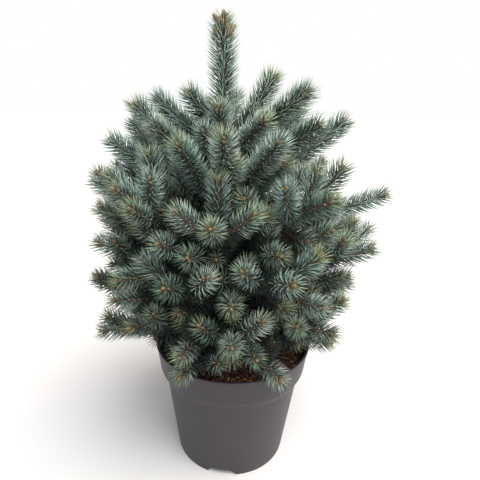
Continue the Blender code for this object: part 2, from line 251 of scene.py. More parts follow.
def tree_of(points):
    """Search tree of points, or None for an empty list."""
    if not points:
        return None
    made = kdtree.KDTree(len(points))
    for k, point in enumerate(points):
        made.insert(point, k)
    made.balance()
    return made


def tree_of_shoots(those):
    return tree_of([point for shoot in those for point in shoot.line])


def distance(tree, point):
    return tree.find(point)[2] if tree else 1.0


def clear_of_pot(point, clear):
    """Whether a point keeps clear of the pot and the soil."""
    out = math.hypot(point.x, point.y)
    inside, beside = POT_RIM_RADIUS - 3 * POT_WALL - clear, POT_RIM_RADIUS + clear
    floor = SOIL_LEVEL if out < inside else POT_HEIGHT if out < beside else POT_SIDE_TOP
    return point.z > floor + clear


# %% Grow the limbs and the shoots that the solids have
def grow_crown():
    """Boughs as (mass, curve, bare length), shoots, and a search tree of trunk and boughs."""
    rng = random.Random(52)
    boughs, mains = [], []
    for whorl, height, rise, bare, limbs in WHORLS:
        for number, (azimuth, reach, tip_height) in enumerate(limbs, 1):
            step = WHORL_STAGGER * ((3 * number) % 7 - 3)
            curve = limb_curve(height + step, rise, azimuth, reach, tip_height)
            stop = curve.length * bare
            if bare:
                boughs.append((f"{whorl}_{number}", curve, stop))
            mains.append(Shoot(f"{whorl}_{number}", curve, stop + GAP if bare else 0.0, 1))
    limb_points = [trunk_point(SOIL_LEVEL + POINT_SPACING * k)
                   for k in range(int((TRUNK_TIP.z - SOIL_LEVEL) / POINT_SPACING))]
    for _, curve, stop in boughs:
        limb_points += [curve.place(stop * k / 20)[0] for k in range(21)]
    shoots, limbs = list(mains), tree_of(limb_points)
    for main in mains:
        for place, side, turn, part in SIDE_SHOOTS:
            start = main.start + main.length * place
            curve = side_curve(main.curve, start, side, turn, main.length * part, rng)
            new = Shoot(main.mass, curve, 0.0, 2)
            others = tree_of_shoots([s for s in shoots if s.mass != main.mass])
            siblings = tree_of_shoots([s for s in shoots if s.mass == main.mass])
            free = all(distance(others, p) > SHOOT_SPACING and distance(limbs, p) > LIMB_SPACING and
                       clear_of_pot(p, POT_CLEARANCE) for p in new.line[len(new.line) // 4:])
            if free and all(distance(siblings, p) > SHOOT_SPACING for p in new.outer_half):
                shoots.append(new)
    return boughs, shoots, limbs


boughs, shoots, limb_tree = grow_crown()

# %% Turn the shoots to the light
# The last two years' whorls haven't branched yet: each limb there is one straight brush, which
# leaves the trunk lower down than its solid does, and so climbs more steeply.
HIGH_WHORLS = ("top", "upper")
STEEPER_BY, SAG, SIDE_RISE = 0.050, 0.004, 0.22
# How far some of their tips have swayed from where the solids put them.
SWAYED = {"top_1": (-0.012, 0, 0.014), "top_2": (0.018, 0, 0.002), "top_4": (-0.010, 0, -0.006),
          "upper_4": (0, 0, 0.003)}
# The long limb on the right stands alone against the sky, so nothing is beyond this x and above
# these heights: the first for its own side shoots, the second for those of buds that wake.
LONG_LIMB, SKY_X, SKY_HEIGHT, SKY_HEIGHT_WOKEN = "middle_1", 0.12, 0.46, 0.45


def to_the_light(shoot):
    if shoot.order == 2:
        return Shoot(shoot.mass, turned_up(shoot.curve, SIDE_RISE), 0.0, 2)
    if shoot.mass.startswith(HIGH_WHORLS):
        tip = shoot.curve.points[-1] + Vector(SWAYED.get(shoot.mass, (0, 0, 0)))
        start = trunk_point(shoot.curve.points[0].z - STEEPER_BY)
        return Shoot(shoot.mass, bent(start, (start + tip) / 2 + Vector((0, 0, -SAG)), tip), 0.0, 1)
    return shoot


def stays(shoot):
    if shoot.order == 1:
        return True
    tip = shoot.curve.points[-1]
    in_sky = shoot.mass == LONG_LIMB and tip.x > SKY_X and tip.z > SKY_HEIGHT
    return not (shoot.mass.startswith(HIGH_WHORLS) or in_sky)


def told(those):
    return f"{len(those)} shoots, {sum(s.length for s in those):.2f} m of shoot"


shoots = [to_the_light(shoot) for shoot in shoots if stays(shoot)]
print(len(boughs), "boughs,", told(shoots))

# %% [markdown]
# ## Finer twigs
#
# Last year's side shoots carry short shoots of their own. They are grown by the same rule, one
# step further, and a twig that would come too close to another is left out, as a shaded bud is
# left asleep on the tree. Young shoots also rise inside the crown, between the whorls, and out of
# buds that wake where the crown's skin has room. The leader is the top of the trunk itself.

# %% Sizes of the finer twigs
FINE_SHOOTS = {
    1: ((0.10, 90, 60, 0.40), (0.12, -90, 60, 0.40), (0.36, 176, 50, 0.36), (0.40, 60, 50, 0.34),
        (0.46, 4, 48, 0.34), (0.50, -120, 50, 0.34), (0.70, 80, 44, 0.26), (0.74, 172, 42, 0.24),
        (0.78, 8, 42, 0.24)),
    2: ((0.20, -80, 54, 0.52), (0.34, 4, 50, 0.46), (0.44, 178, 50, 0.44), (0.60, 88, 44, 0.32)),
}
FINE_SPACING, SHORTEST, TWIG_RISE = 0.021, 0.020, 0.25
# On the bare part of a bough: place along it, side, angle and length.
INNER_SHOOTS = (
    (0.45, 90, 56, 0.062), (0.55, -90, 58, 0.056), (0.70, 10, 54, 0.062), (0.80, 170, 54, 0.062),
    (0.92, 70, 50, 0.050), (0.96, -60, 50, 0.050),
)
INNER_SPACING = 0.8 * SHOOT_SPACING
# Height on the trunk and number of shoots there, each ring turned on by so many degrees a metre.
BETWEEN_WHORLS = ((0.325, 6), (0.390, 6), (0.455, 5))
BETWEEN_REACH, BETWEEN_TURN, YOUNG_RISE = 0.115, 1000, 0.35
# Strong young shoots that rise steeply: height on the trunk, azimuth, reach, tip height.
YOUNG_SHOOTS = (
    (0.545, 205, 0.082, 0.606), (0.548, 132, 0.085, 0.588), (0.440, 197, 0.188, 0.540),
    (0.486, 320, 0.142, 0.566), (0.488, 214, 0.142, 0.562), (0.512, 292, 0.100, 0.570),
    (0.500, 243, 0.105, 0.556), (0.440, 268, 0.120, 0.522), (0.440, 305, 0.115, 0.520),
    (0.400, 225, 0.150, 0.492), (0.360, 284, 0.165, 0.465), (0.350, 246, 0.168, 0.446),
    (0.345, 264, 0.160, 0.436), (0.350, 316, 0.180, 0.438), (0.310, 276, 0.165, 0.404),
    (0.300, 308, 0.172, 0.392), (0.340, 230, 0.185, 0.440), (0.260, 254, 0.160, 0.352),
    (0.285, 277, 0.120, 0.332), (0.270, 90, 0.130, 0.290), (0.255, 296, 0.168, 0.338),
    (0.285, 194, 0.200, 0.356), (0.265, 352, 0.190, 0.338), (0.245, 270, 0.158, 0.326),
    (0.290, 228, 0.180, 0.372),
)


# %% Room and place in the crown
def spaced(twig, spacing):
    """Whether the outer half of a twig keeps its distance from every other shoot."""
    tree = tree_of_shoots(shoots)
    return all(distance(tree, p) > spacing for p in twig.outer_half)


def roomy(twig, spacing):
    """Whether it also keeps its distance from the limbs and the pot."""
    return spaced(twig, spacing) and all(
        distance(limb_tree, p) > LIMB_SPACING and clear_of_pot(p, TWIG_POT_CLEARANCE)
        for p in twig.outer_half)


def mass_at(height, azimuth):
    """Mass of the nearest whorl that grows towards an azimuth."""
    name, *_, limbs = min(WHORLS, key=lambda whorl: abs(whorl[1] - height))
    turns = [abs((limb[0] - azimuth + 180) % 360 - 180) for limb in limbs]
    return f"{name}_{turns.index(min(turns)) + 1}"


def read_off(rows, height):
    """Value at a height in a table of (height, value), straight between its rows."""
    for (low, near), (high, far) in zip(rows, rows[1:]):
        if height <= high:
            return near + (far - near) * max(0.0, (height - low) / (high - low))
    return rows[-1][1]


# %% Grow the inner, young and finer shoots
rng = random.Random(11)
for mass, bough, stop in boughs:
    for place, side, turn, length in INNER_SHOOTS:
        curve = side_curve(bough, stop * place, side, turn, length * rng.uniform(0.8, 1.1), rng)
        twig = Shoot(mass, turned_up(curve, TWIG_RISE), 0.0, 2)
        if roomy(twig, INNER_SPACING):
            shoots.append(twig)
for height, count in BETWEEN_WHORLS:
    for k in range(count):
        azimuth = 360 * (k + rng.uniform(-0.25, 0.25)) / count + height * BETWEEN_TURN
        start = height + rng.uniform(-0.008, 0.008)
        reach = BETWEEN_REACH * rng.uniform(0.75, 1.1)
        curve = limb_curve(start, YOUNG_RISE, azimuth, reach, start + reach * rng.uniform(0.5, 0.9))
        twig = Shoot(mass_at(start, azimuth), curve, 0.0, 2)
        if spaced(twig, FINE_SPACING):
            shoots.append(twig)
for height, azimuth, *tip in YOUNG_SHOOTS:
    curve = limb_curve(height, YOUNG_RISE, azimuth, *tip)
    shoots.append(Shoot(mass_at(height, azimuth), curve, 0.0, 2))
for parent in list(shoots):
    if parent.mass.startswith(HIGH_WHORLS + (LONG_LIMB,)):
        continue
    for place, side, turn, part in FINE_SHOOTS[parent.order]:
        length = parent.length * part
        if length < SHORTEST:
            continue
        start = parent.start + parent.length * place
        curve = side_curve(parent.curve, start, side, turn, length, rng)
        twig = Shoot(parent.mass, turned_up(curve, TWIG_RISE), 0.0, 3)
        if roomy(twig, FINE_SPACING):
            shoots.append(twig)
print(told(shoots))

# %% Wake buds at the crown's skin
# A bud wakes wherever the skin has room, and its shoot comes out from a limb deeper in. Tips are
# tried one by one up the skin, each turned on from the last by the golden angle.
GOLDEN_ANGLE = 137.508
# Height and distance from the trunk of the skin that the tips of the shoots reach.
CROWN_SKIN = ((0.225, 0.132), (0.30, 0.200), (0.44, 0.198), (0.50, 0.185), (0.54, 0.160),
              (0.582, 0.110))
WAKING_BUDS, SHALLOWEST, WAKING_SAG = 620, 0.84, 0.06
# Room that a tip needs, and more of it above a height.
WAKING_ROOM, HIGH_ROOM, HIGH_ROOM_FROM = 0.033, 0.046, 0.47
# How steeply a shoot climbs from the trunk, by its height, and where on its way it leaves a limb.
CLIMB_FROM, CLIMB_RUN, LEAST_CLIMB, MOST_CLIMB = 0.36, 0.18, 0.05, 1.1
LOWEST_FOOT, LEAVES_AT = 0.24, 0.35

woken = 0
for k in range(WAKING_BUDS):
    height = CROWN_SKIN[0][0] + (CROWN_SKIN[-1][0] - CROWN_SKIN[0][0]) * (k + 0.5) / WAKING_BUDS
    azimuth = math.radians(GOLDEN_ANGLE * k)
    reach = read_off(CROWN_SKIN, height) * rng.uniform(SHALLOWEST, 1.0)
    tip = trunk_point(height) + Vector((math.cos(azimuth), math.sin(azimuth), 0)) * reach
    room = WAKING_ROOM if height < HIGH_ROOM_FROM else HIGH_ROOM
    if tip.x > SKY_X and tip.z > SKY_HEIGHT_WOKEN or distance(tree_of_shoots(shoots), tip) < room:
        continue
    climb = max(LEAST_CLIMB, min(MOST_CLIMB, (height - CLIMB_FROM) / CLIMB_RUN))
    foot = trunk_point(max(LOWEST_FOOT, height - climb * reach))
    aim = foot + (tip - foot) * LEAVES_AT
    start = min((p for s in shoots if s.order < 3 for p in s.line), key=lambda p: (p - aim).length)
    middle = (start + tip) / 2 + Vector((0, 0, -WAKING_SAG * (tip - start).length))
    mass = mass_at(height, math.degrees(azimuth))
    shoots.append(Shoot(mass, bent(start, middle, tip, steps=24), 0.0, 2))
    woken += 1
print(woken, "buds woken")

# %% Grow the leader
LEADER_HEIGHTS = (0.552, 0.622, 0.695)
leader_curve = bent(*[trunk_point(height) for height in LEADER_HEIGHTS], steps=40)
shoots.append(Shoot("leader", leader_curve, 0.0, 0))
print(told(shoots), "with the leader")

# %% [markdown]
# ## Light and camera
#
# The plant stands in a plain white studio. A large soft lamp high at the front right models the
# pot and the sprays, a weaker and warmer one low on the right lights their sides, and the white
# world opens the shadows. The standard view transform keeps white paper white. The camera looks
# down a little, from about the distance of an arm, which is why the pot seems to narrow so fast.

# %% Camera
scene = bpy.context.scene
scene.view_settings.view_transform = "Standard"
scene.view_settings.look = "None"

camera = bpy.data.objects.new("camera", bpy.data.cameras.new("camera"))
camera.data.lens, camera.data.sensor_width = 30.375, 36.0
camera.data.shift_x = 0.009375
pitch, roll = math.radians(18), math.radians(1.5)
ahead = Vector((0, math.cos(pitch), -math.sin(pitch)))
level = Vector((1, 0, 0))
above = level.cross(ahead)
right = math.cos(roll) * level + math.sin(roll) * above
camera_up = math.cos(roll) * above - math.sin(roll) * level
turn = Matrix((right, camera_up, -ahead)).transposed().to_4x4()
camera.matrix_world = Matrix.Translation((0, -0.615, 0.58)) @ turn
scene.collection.objects.link(camera)
scene.camera = camera
print("camera", round(camera.data.angle_x * 180 / math.pi, 1), "degrees wide")

# %% Lamps and world
# Name, where it shines from, strength, how many degrees wide it looks, colour.
LAMPS = (
    ("key", (0.55, -0.95, 2.2), 4.6, 48, "fffaf6"),
    ("side", (1.60, 0.10, 1.00), 2.3, 75, "ffeee2"),
)
for name, place, strength, softness, tint in LAMPS:
    lamp = bpy.data.objects.new(name, bpy.data.lights.new(name, "SUN"))
    lamp.data.angle = math.radians(softness)
    lamp.data.energy, lamp.data.color = strength, colour(tint)[:3]
    lamp.rotation_euler = Vector(place).to_track_quat("Z", "Y").to_euler()
    lamp.location = place
    scene.collection.objects.link(lamp)

# The world is white from the horizon up to a slant, and dims towards the top.
scene.world = bpy.data.worlds.new("white studio")
scene.world.use_nodes = True
scene.world.node_tree.nodes.clear()
add = partial(add_node, scene.world.node_tree)
rise = add("ShaderNodeSeparateXYZ", {"Vector": add("ShaderNodeTexCoord").outputs["Generated"]})
dome = add("ShaderNodeMapRange", {
    "Value": rise.outputs["Z"], "From Min": 0.36, "From Max": 0.70, "To Min": 1.0, "To Max": 0.18})
light = add("ShaderNodeBackground", {"Color": colour("ffffff"), "Strength": dome})
add("ShaderNodeOutputWorld", {"Surface": light})
print(len(LAMPS), "lamps")

# %% [markdown]
# ## Finishes
#
# Every finish starts from the real stuff: what it is, how its surface came about and how large its
# grain is. Patterns read Object coordinates, so they stay on the piece, and a noise with a grain of
# g metres has a scale of 1 / g.


# %% Material helper
def new_material(name):
    """Empty material, and add_node bound to its tree."""
    made = bpy.data.materials.new(name)
    made.use_nodes = True
    made.node_tree.nodes.clear()
    return made, partial(add_node, made.node_tree)


# %% Spruce needles: leaf under a bloom of wax
# The wax of a blue spruce scatters light, so the needle looks frosted and hardly shines. Each
# needle has its own share of it, and it is painted darker and greener towards the twig: painted
# shade.
# Real bands of wax are 0.2 mm wide, too fine to show, so the bloom is drawn as 6 mm patches.
# Each entry: name, under the wax, wax at its thickest, the horny point of the needle.
NEEDLE_TINTS = (
    ("glaucous", "243f3e", "9db3a9", "a6b299"),
    ("blue_green", "1f3839", "86a198", "94a28b"),
    ("grey_green", "233834", "869e8d", "99a588"),
    ("young_tip", "3d5036", "889770", "9b976e"),
    # The shaded tint is painted shade, for needles deep in the crown.
    ("shaded", "091614", "20372f", "2e3f32"),
    # The lower tint is greener, and darker as painted shade for the low crown.
    ("lower_green", "182a24", "647d6d", "7d8a71"),
)
WAX_PATCH = 0.006


def needle_wax(name, under, waxed, point):
    made, add = new_material(f"spruce_needle_{name}")
    where = add("ShaderNodeTexCoord").outputs["Object"]
    bloom = add("ShaderNodeTexNoise", {
        "Vector": where, "Scale": 1 / WAX_PATCH, "Detail": 2.0, "Roughness": 0.6})
    frost = add("ShaderNodeAttribute", attribute_name="frost").outputs["Fac"]
    along = add("ShaderNodeAttribute", attribute_name="along").outputs["Fac"]
    # Painted shade: the wax fades and the needle darkens towards its foot on the twig.
    painted_base_shade = add("ShaderNodeMapRange", {
        "Value": along, "From Max": 0.55, "To Min": 0.15, "To Max": 1.0})
    patchy = add("ShaderNodeMath", {0: bloom, 1: frost}, operation="ADD")
    wax = add("ShaderNodeMapRange", {"Value": patchy, "From Min": 0.35, "From Max": 1.35})
    wax_and_painted_base_shade = add("ShaderNodeMath", {0: wax, 1: painted_base_shade}, operation="MULTIPLY")
    leaf = add("ShaderNodeMix", {
        "Factor": wax_and_painted_base_shade, 6: colour(under), 7: colour(waxed)}, data_type="RGBA")
    horn = add("ShaderNodeMapRange", {
        "Value": along, "From Min": 0.72, "From Max": 1.0, "To Max": 0.75})
    skin = add("ShaderNodeMix", {"Factor": horn, 6: leaf, 7: colour(point)}, data_type="RGBA")
    shader = add("ShaderNodeBsdfPrincipled", {
        "Base Color": skin, "Roughness": 0.55, "IOR": 1.45,
        "Sheen Weight": 0.12, "Sheen Roughness": 0.5, "Sheen Tint": colour("dcebea")})
    add("ShaderNodeOutputMaterial", {"Surface": shader})
    return made


needle_materials = [needle_wax(*tint) for tint in NEEDLE_TINTS]
print(len(needle_materials), "needle finishes")


# %% Spruce bark: thin scales that crack as the stem swells
# Young bark is orange-brown and smooth between the leaf scars; older bark is grey-brown and flakes
# in scales of about 4 mm. It is dry and matt.
def spruce_bark(name, scale_size, young, old, crack, bump, young_from, young_to):
    made, add = new_material(name)
    where = add("ShaderNodeTexCoord").outputs["Object"]
    cells = add("ShaderNodeTexVoronoi", {
        "Vector": where, "Scale": 1 / scale_size}, feature="DISTANCE_TO_EDGE")
    stain = add("ShaderNodeTexNoise", {"Vector": where, "Scale": 2.5 / scale_size, "Detail": 3.0})
    height = add("ShaderNodeSeparateXYZ", {"Vector": where})
    age = add("ShaderNodeMapRange", {
        "Value": height.outputs["Z"], "From Min": young_from, "From Max": young_to})
    skin = add("ShaderNodeMix", {"Factor": age, 6: colour(old), 7: colour(young)}, data_type="RGBA")
    stained = add("ShaderNodeMix", {"Factor": stain, 6: skin, 7: colour(crack)}, data_type="RGBA")
    open_crack = add("ShaderNodeMapRange", {
        "Value": cells, "From Max": 0.12, "To Min": 0.8, "To Max": 0.0})
    cracked = add("ShaderNodeMix", {
        "Factor": open_crack, 6: stained, 7: colour(crack)}, data_type="RGBA")
    relief = add("ShaderNodeBump", {"Height": cells, "Strength": 0.6, "Distance": bump})
    shader = add("ShaderNodeBsdfPrincipled", {
        "Base Color": cracked, "Roughness": 0.88, "IOR": 1.5, "Normal": relief})
    add("ShaderNodeOutputMaterial", {"Surface": shader})
    return made


# Each: size of a scale, young bark, old bark, cracks, relief, and the heights where it turns young.
trunk_bark, bough_bark, twig_bark = [spruce_bark(f"spruce_{part}_bark", *look) for part, *look in (
    ("trunk", 0.004, "8a6242", "6b5a4d", "3a2d25", 0.0008, 0.42, 0.56),
    ("bough", 0.003, "86664c", "735c49", "42332a", 0.0005, 0.25, 0.55),
    ("twig", 0.0016, "846c55", "6f5c4b", "42352b", 0.0003, 0.20, 0.50),
)]
print("bark finishes:", trunk_bark.name, bough_bark.name, twig_bark.name)


# %% Bud scales: dry, papery and overlapping
# Winter buds are wrapped in orange-brown scales of about 1.2 mm whose dry edges catch the light.
BUD_SCALE = 0.0012

bud_material, add = new_material("spruce_bud_scales")
where = add("ShaderNodeTexCoord").outputs["Object"]
cells = add("ShaderNodeTexVoronoi", {"Vector": where, "Scale": 1 / BUD_SCALE})
paper = add("ShaderNodeMix", {
    "Factor": cells, 6: colour("4b3d2b"), 7: colour("927d5b")}, data_type="RGBA")
relief = add("ShaderNodeBump", {"Height": cells, "Strength": 0.5, "Distance": 0.0004})
shader = add("ShaderNodeBsdfPrincipled", {
    "Base Color": paper, "Roughness": 0.6, "IOR": 1.5, "Normal": relief})
add("ShaderNodeOutputMaterial", {"Surface": shader})
print("bud finish:", bud_material.name)


# %% Pot: injection-moulded polypropylene
# The mould was spark-eroded to a matt grain of about 0.4 mm, drawn 0.8 mm here so that it shows. It
# gives a soft broad sheen. Handling leaves pale scuffs, and watering a faint bloom of lime.
# Scuffs are 17 mm long round the pot and 2.4 mm high.
MOULD_GRAIN, LIME_PATCH = 0.0008, 0.06
SCUFFS_PER_METRE = (60.0, 60.0, 420.0)

pot_material, add = new_material("moulded_polypropylene_taupe")
where = add("ShaderNodeTexCoord").outputs["Object"]
grain = add("ShaderNodeTexNoise", {"Vector": where, "Scale": 1 / MOULD_GRAIN, "Detail": 1.0})
bloom = add("ShaderNodeTexNoise", {"Vector": where, "Scale": 1 / LIME_PATCH, "Detail": 4.0})
stretched = add("ShaderNodeMapping", {"Vector": where, "Scale": SCUFFS_PER_METRE})
scuff = add("ShaderNodeTexNoise", {
    "Vector": stretched, "Scale": 1.0, "Detail": 5.0, "Roughness": 0.7})
rub = add("ShaderNodeMapRange", {
    "Value": scuff, "From Min": 0.62, "From Max": 0.80, "To Max": 0.22})
body = add("ShaderNodeMix", {
    "Factor": bloom, 6: colour("29262d"), 7: colour("302c33")}, data_type="RGBA")
rubbed = add("ShaderNodeMix", {"Factor": rub, 6: body, 7: colour("716a6b")}, data_type="RGBA")
dull = add("ShaderNodeMapRange", {"Value": bloom, "To Min": 0.42, "To Max": 0.56})
relief = add("ShaderNodeBump", {"Height": grain, "Strength": 0.12, "Distance": 0.0002})
shader = add("ShaderNodeBsdfPrincipled", {
    "Base Color": rubbed, "Roughness": dull, "IOR": 1.49, "Normal": relief})
add("ShaderNodeOutputMaterial", {"Surface": shader})
print("pot finish:", pot_material.name)


# %% Compost: peat crumbs and shredded bark
# Moist peat is nearly black and crumbles in lumps of about 3 mm. The shreds of bark on it dried in
# the sun, so they are paler and redder.
def compost(name, dark, light, grain, roughness):
    made, add = new_material(name)
    where = add("ShaderNodeTexCoord").outputs["Object"]
    crumbs = add("ShaderNodeTexNoise", {
        "Vector": where, "Scale": 1 / grain, "Detail": 5.0, "Roughness": 0.65})
    spread = add("ShaderNodeMapRange", {"Value": crumbs, "From Min": 0.3, "From Max": 0.7})
    earth = add("ShaderNodeMix", {
        "Factor": spread, 6: colour(dark), 7: colour(light)}, data_type="RGBA")
    relief = add("ShaderNodeBump", {"Height": crumbs, "Strength": 0.7, "Distance": grain / 2})
    shader = add("ShaderNodeBsdfPrincipled", {
        "Base Color": earth, "Roughness": roughness, "IOR": 1.45, "Normal": relief})
    add("ShaderNodeOutputMaterial", {"Surface": shader})
    return made


peat = compost("peat_crumbs", "170f0c", "33231b", 0.003, 0.95)
SHRED_COLOURS = (("red", "5c3424", "9a6248"), ("brown", "3e261d", "74503d"),
                 ("pale", "846450", "c0a48c"))
shred_finishes = {kind: compost(f"bark_shreds_{kind}", dark, light, 0.002, 0.85)
                  for kind, dark, light in SHRED_COLOURS}
print("compost finishes:", peat.name, [finish.name for finish in shred_finishes.values()])

# %% [markdown]
# ## Objects and Geometry Nodes
#
# A twig, a needle or a bud is a rule that repeats along a path, so each is one Geometry Nodes tree.
# Its input is a plain mesh of paths or points with named attributes, and its output is realised
# and kept as a plain mesh, because an export can't carry instances.


# %% Helpers for trees
def new_tree(name, inputs):
    """Geometry Nodes tree with named inputs {name: value}, add_node bound to it, and its inputs."""
    tree = bpy.data.node_groups.new(name, "GeometryNodeTree")
    tree.interface.new_socket("Geometry", in_out="INPUT", socket_type="NodeSocketGeometry")
    for label, value in inputs.items():
        kind = "NodeSocketInt" if isinstance(value, int) else "NodeSocketFloat"
        tree.interface.new_socket(label, in_out="INPUT", socket_type=kind).default_value = value
    tree.interface.new_socket("Geometry", in_out="OUTPUT", socket_type="NodeSocketGeometry")
    add = partial(add_node, tree)
    return tree, add, add("NodeGroupInput").outputs


def end_tree(add, grown, finishes, smooth=True):
    """Realise what has grown and give it finishes of (material, the part that takes it)."""
    made = add("GeometryNodeRealizeInstances", {"Geometry": grown})
    if smooth:
        made = add("GeometryNodeSetShadeSmooth", {"Geometry": made})
    for finish, part in finishes:
        made = add("GeometryNodeSetMaterial", {
            "Geometry": made, "Selection": part, "Material": finish})
    add("NodeGroupOutput", {"Geometry": made})


# %% Helpers for pieces
def new_piece(name, points, edges=(), **attributes):
    """Object from plain lists, with one attribute per name on its points, of floats or vectors."""
    mesh = bpy.data.meshes.new(name)
    mesh.from_pydata(points, edges, ())
    for key, values in attributes.items():
        if isinstance(values[0], Vector):
            layer = mesh.attributes.new(key, "FLOAT_VECTOR", "POINT")
            layer.data.foreach_set("vector", [c for value in values for c in value])
        else:
            mesh.attributes.new(key, "FLOAT", "POINT").data.foreach_set("value", values)
    return linked(name, mesh)


def linked(name, mesh):
    piece = bpy.data.objects.new(name, mesh)
    scene.collection.objects.link(piece)
    return piece


def chained(paths):
    """Points of all the paths in one list, and the edges along each path."""
    points, edges = [], []
    for path in paths:
        edges += [(len(points) + k, len(points) + k + 1) for k in range(len(path) - 1)]
        points += path
    return points, edges


def evaluated(piece):
    """Keep what the piece's modifiers make as its plain mesh, and remove them."""
    graph = bpy.context.evaluated_depsgraph_get()
    mesh = bpy.data.meshes.new_from_object(
        piece.evaluated_get(graph), preserve_all_data_layers=True, depsgraph=graph)
    piece.modifiers.clear()
    piece.data = mesh
    mesh.name = piece.name
    return piece


def grow_by(piece, tree, **inputs):
    """Run a tree on a piece, with inputs set by their sockets' identifiers."""
    modifier = piece.modifiers.new(tree.name, "NODES")
    modifier.node_group = tree
    for item in tree.interface.items_tree:
        label = item.name.replace(" ", "_").lower()
        if item.item_type == "SOCKET" and item.in_out == "INPUT" and label in inputs:
            modifier[item.identifier] = inputs[label]
    return evaluated(piece)


def triangles(piece):
    piece.data.calc_loop_triangles()
    return len(piece.data.loop_triangles)


def hand_over(piece, slot, *nodes):
    """The piece rides on the plant and stands for its solids, which are hidden; slot is not used.
    """
    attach(piece, "root")
    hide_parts(*nodes)
    more = " ..." if len(nodes) > 3 else ""
    print(f"{piece.name}: {triangles(piece)} triangles for {', '.join(nodes[:3])}{more}")


# %% [markdown]
# ## The needle tree
#
# A blue spruce needle is a stiff, four-sided, slightly curved spike about 25 mm long. Needles stand
# on little pegs in a spiral, with the golden angle from one to the next, and lean towards the tip
# of the shoot, most of all round the bud. Curve to Points sets them out, and a cone of three sides
# in two bent steps is enough for one. They are up to a third thicker than life, so that fewer of
# them fill the crown as well as the real ones do.

# %% Build the needle tree
NEEDLE_LENGTH, NEEDLE_WIDTH = 0.0262, 0.0013
# Metres of shoot from one needle to the next, which are closer on the youngest wood.
NEEDLE_SPACING, HIGH_SPACING, LEADER_SPACING = 0.00038, 0.00030, 0.00029
# The cone's width at its foot and towards its point, against the cone's own: the needle stays
# thick nearly all its length and then ends in a short point.
FOOT_WIDTH, POINT_WIDTH = 0.80, 3.80

needles_on_shoot, add, size = new_tree("Needles on a shoot", {
    "Spacing": NEEDLE_SPACING, "Needle Length": NEEDLE_LENGTH, "Needle Width": NEEDLE_WIDTH,
    "Bend": 0.17, "Lift": 0.08, "Seed": 1})
again, lean, grown, tint = [
    add("GeometryNodeInputNamedAttribute", {"Name": name}, data_type="FLOAT")
    for name in ("along", "lean", "size", "tint")]
# Four draws for each needle, with a seed of its own for each of them.
seeds = [size["Seed"]] + [add("ShaderNodeMath", {0: size["Seed"], 1: further}, operation="ADD")
                          for further in (1.0, 2.0, 3.0)]
wobble, sway, vigour, share = [
    add("FunctionNodeRandomValue", {2: least, 3: most, "Seed": seed}, data_type="FLOAT")
    for (least, most), seed in zip(((-0.12, 0.12), (-0.08, 0.08), (0.90, 1.05), (0.0, 1.0)), seeds)]
path = add("GeometryNodeMeshToCurve", {"Mesh": size["Geometry"]})
pegs = add("GeometryNodeCurveToPoints", {"Curve": path, "Length": size["Spacing"]}, mode="LENGTH")

# %% Shape one needle
# The cone is made nearly parallel and bent towards the shoot's tip.
radius = add("ShaderNodeMath", {0: size["Needle Width"], 1: 0.5}, operation="MULTIPLY")
cone = add("GeometryNodeMeshCone", {
    "Vertices": 3, "Side Segments": 2, "Fill Segments": 1,
    "Radius Top": 0.0, "Radius Bottom": radius, "Depth": size["Needle Length"]})
place = add("ShaderNodeSeparateXYZ", {"Vector": add("GeometryNodeInputPosition")})
along = add("ShaderNodeMath", {0: place.outputs["Z"], 1: size["Needle Length"]}, operation="DIVIDE")
marked = add("GeometryNodeStoreNamedAttribute", {
    "Geometry": cone, "Name": "along", "Value": along}, data_type="FLOAT", domain="POINT")
fuller = add("ShaderNodeMapRange", {"Value": again, "To Min": FOOT_WIDTH, "To Max": POINT_WIDTH})
squared = add("ShaderNodeMath", {0: again, 1: again}, operation="MULTIPLY")
bend = add("ShaderNodeMath", {0: size["Bend"], 1: size["Needle Length"]}, operation="MULTIPLY")
shift = add("ShaderNodeMath", {0: squared, 1: bend}, operation="MULTIPLY")
wide_x = add("ShaderNodeMath", {0: place.outputs["X"], 1: fuller}, operation="MULTIPLY")
bent_x = add("ShaderNodeMath", {0: wide_x, 1: shift}, operation="SUBTRACT")
wide_y = add("ShaderNodeMath", {0: place.outputs["Y"], 1: fuller}, operation="MULTIPLY")
spot = add("ShaderNodeCombineXYZ", {"X": bent_x, "Y": wide_y, "Z": place.outputs["Z"]})
needle = add("GeometryNodeSetPosition", {"Geometry": marked, "Position": spot})

# %% Give each needle its stance
# It turns round the shoot by the golden angle, then leans out from it and lifts a little.
index = add("GeometryNodeInputIndex")
spiral = add("ShaderNodeMath", {
    0: index, 1: math.radians(GOLDEN_ANGLE), 2: wobble}, operation="MULTIPLY_ADD")
leaning = add("ShaderNodeMath", {0: lean, 1: sway}, operation="ADD")
facing = add("FunctionNodeAlignRotationToVector", {"Vector": pegs.outputs["Tangent"]}, axis="Z")
round_it = add("FunctionNodeAxisAngleToRotation", {"Axis": (0.0, 0.0, 1.0), "Angle": spiral})
spun = add("FunctionNodeRotateRotation", {
    "Rotation": facing, "Rotate By": round_it}, rotation_space="LOCAL")
out_of = add("FunctionNodeAxisAngleToRotation", {"Axis": (0.0, 1.0, 0.0), "Angle": leaning})
tilted = add("FunctionNodeRotateRotation", {
    "Rotation": spun, "Rotate By": out_of}, rotation_space="LOCAL")
aim = add("FunctionNodeRotateVector", {"Vector": (0.0, 0.0, 1.0), "Rotation": tilted})
upwards = add("ShaderNodeCombineXYZ", {"Z": size["Lift"]})
lifted = add("ShaderNodeVectorMath", {0: aim, 1: upwards}, operation="ADD")
stance = add("FunctionNodeAlignRotationToVector", {"Rotation": tilted, "Vector": lifted}, axis="Z")
scale = add("ShaderNodeMath", {0: grown, 1: vigour}, operation="MULTIPLY")
spray = add("GeometryNodeInstanceOnPoints", {
    "Points": pegs, "Instance": needle, "Rotation": stance, "Scale": scale})
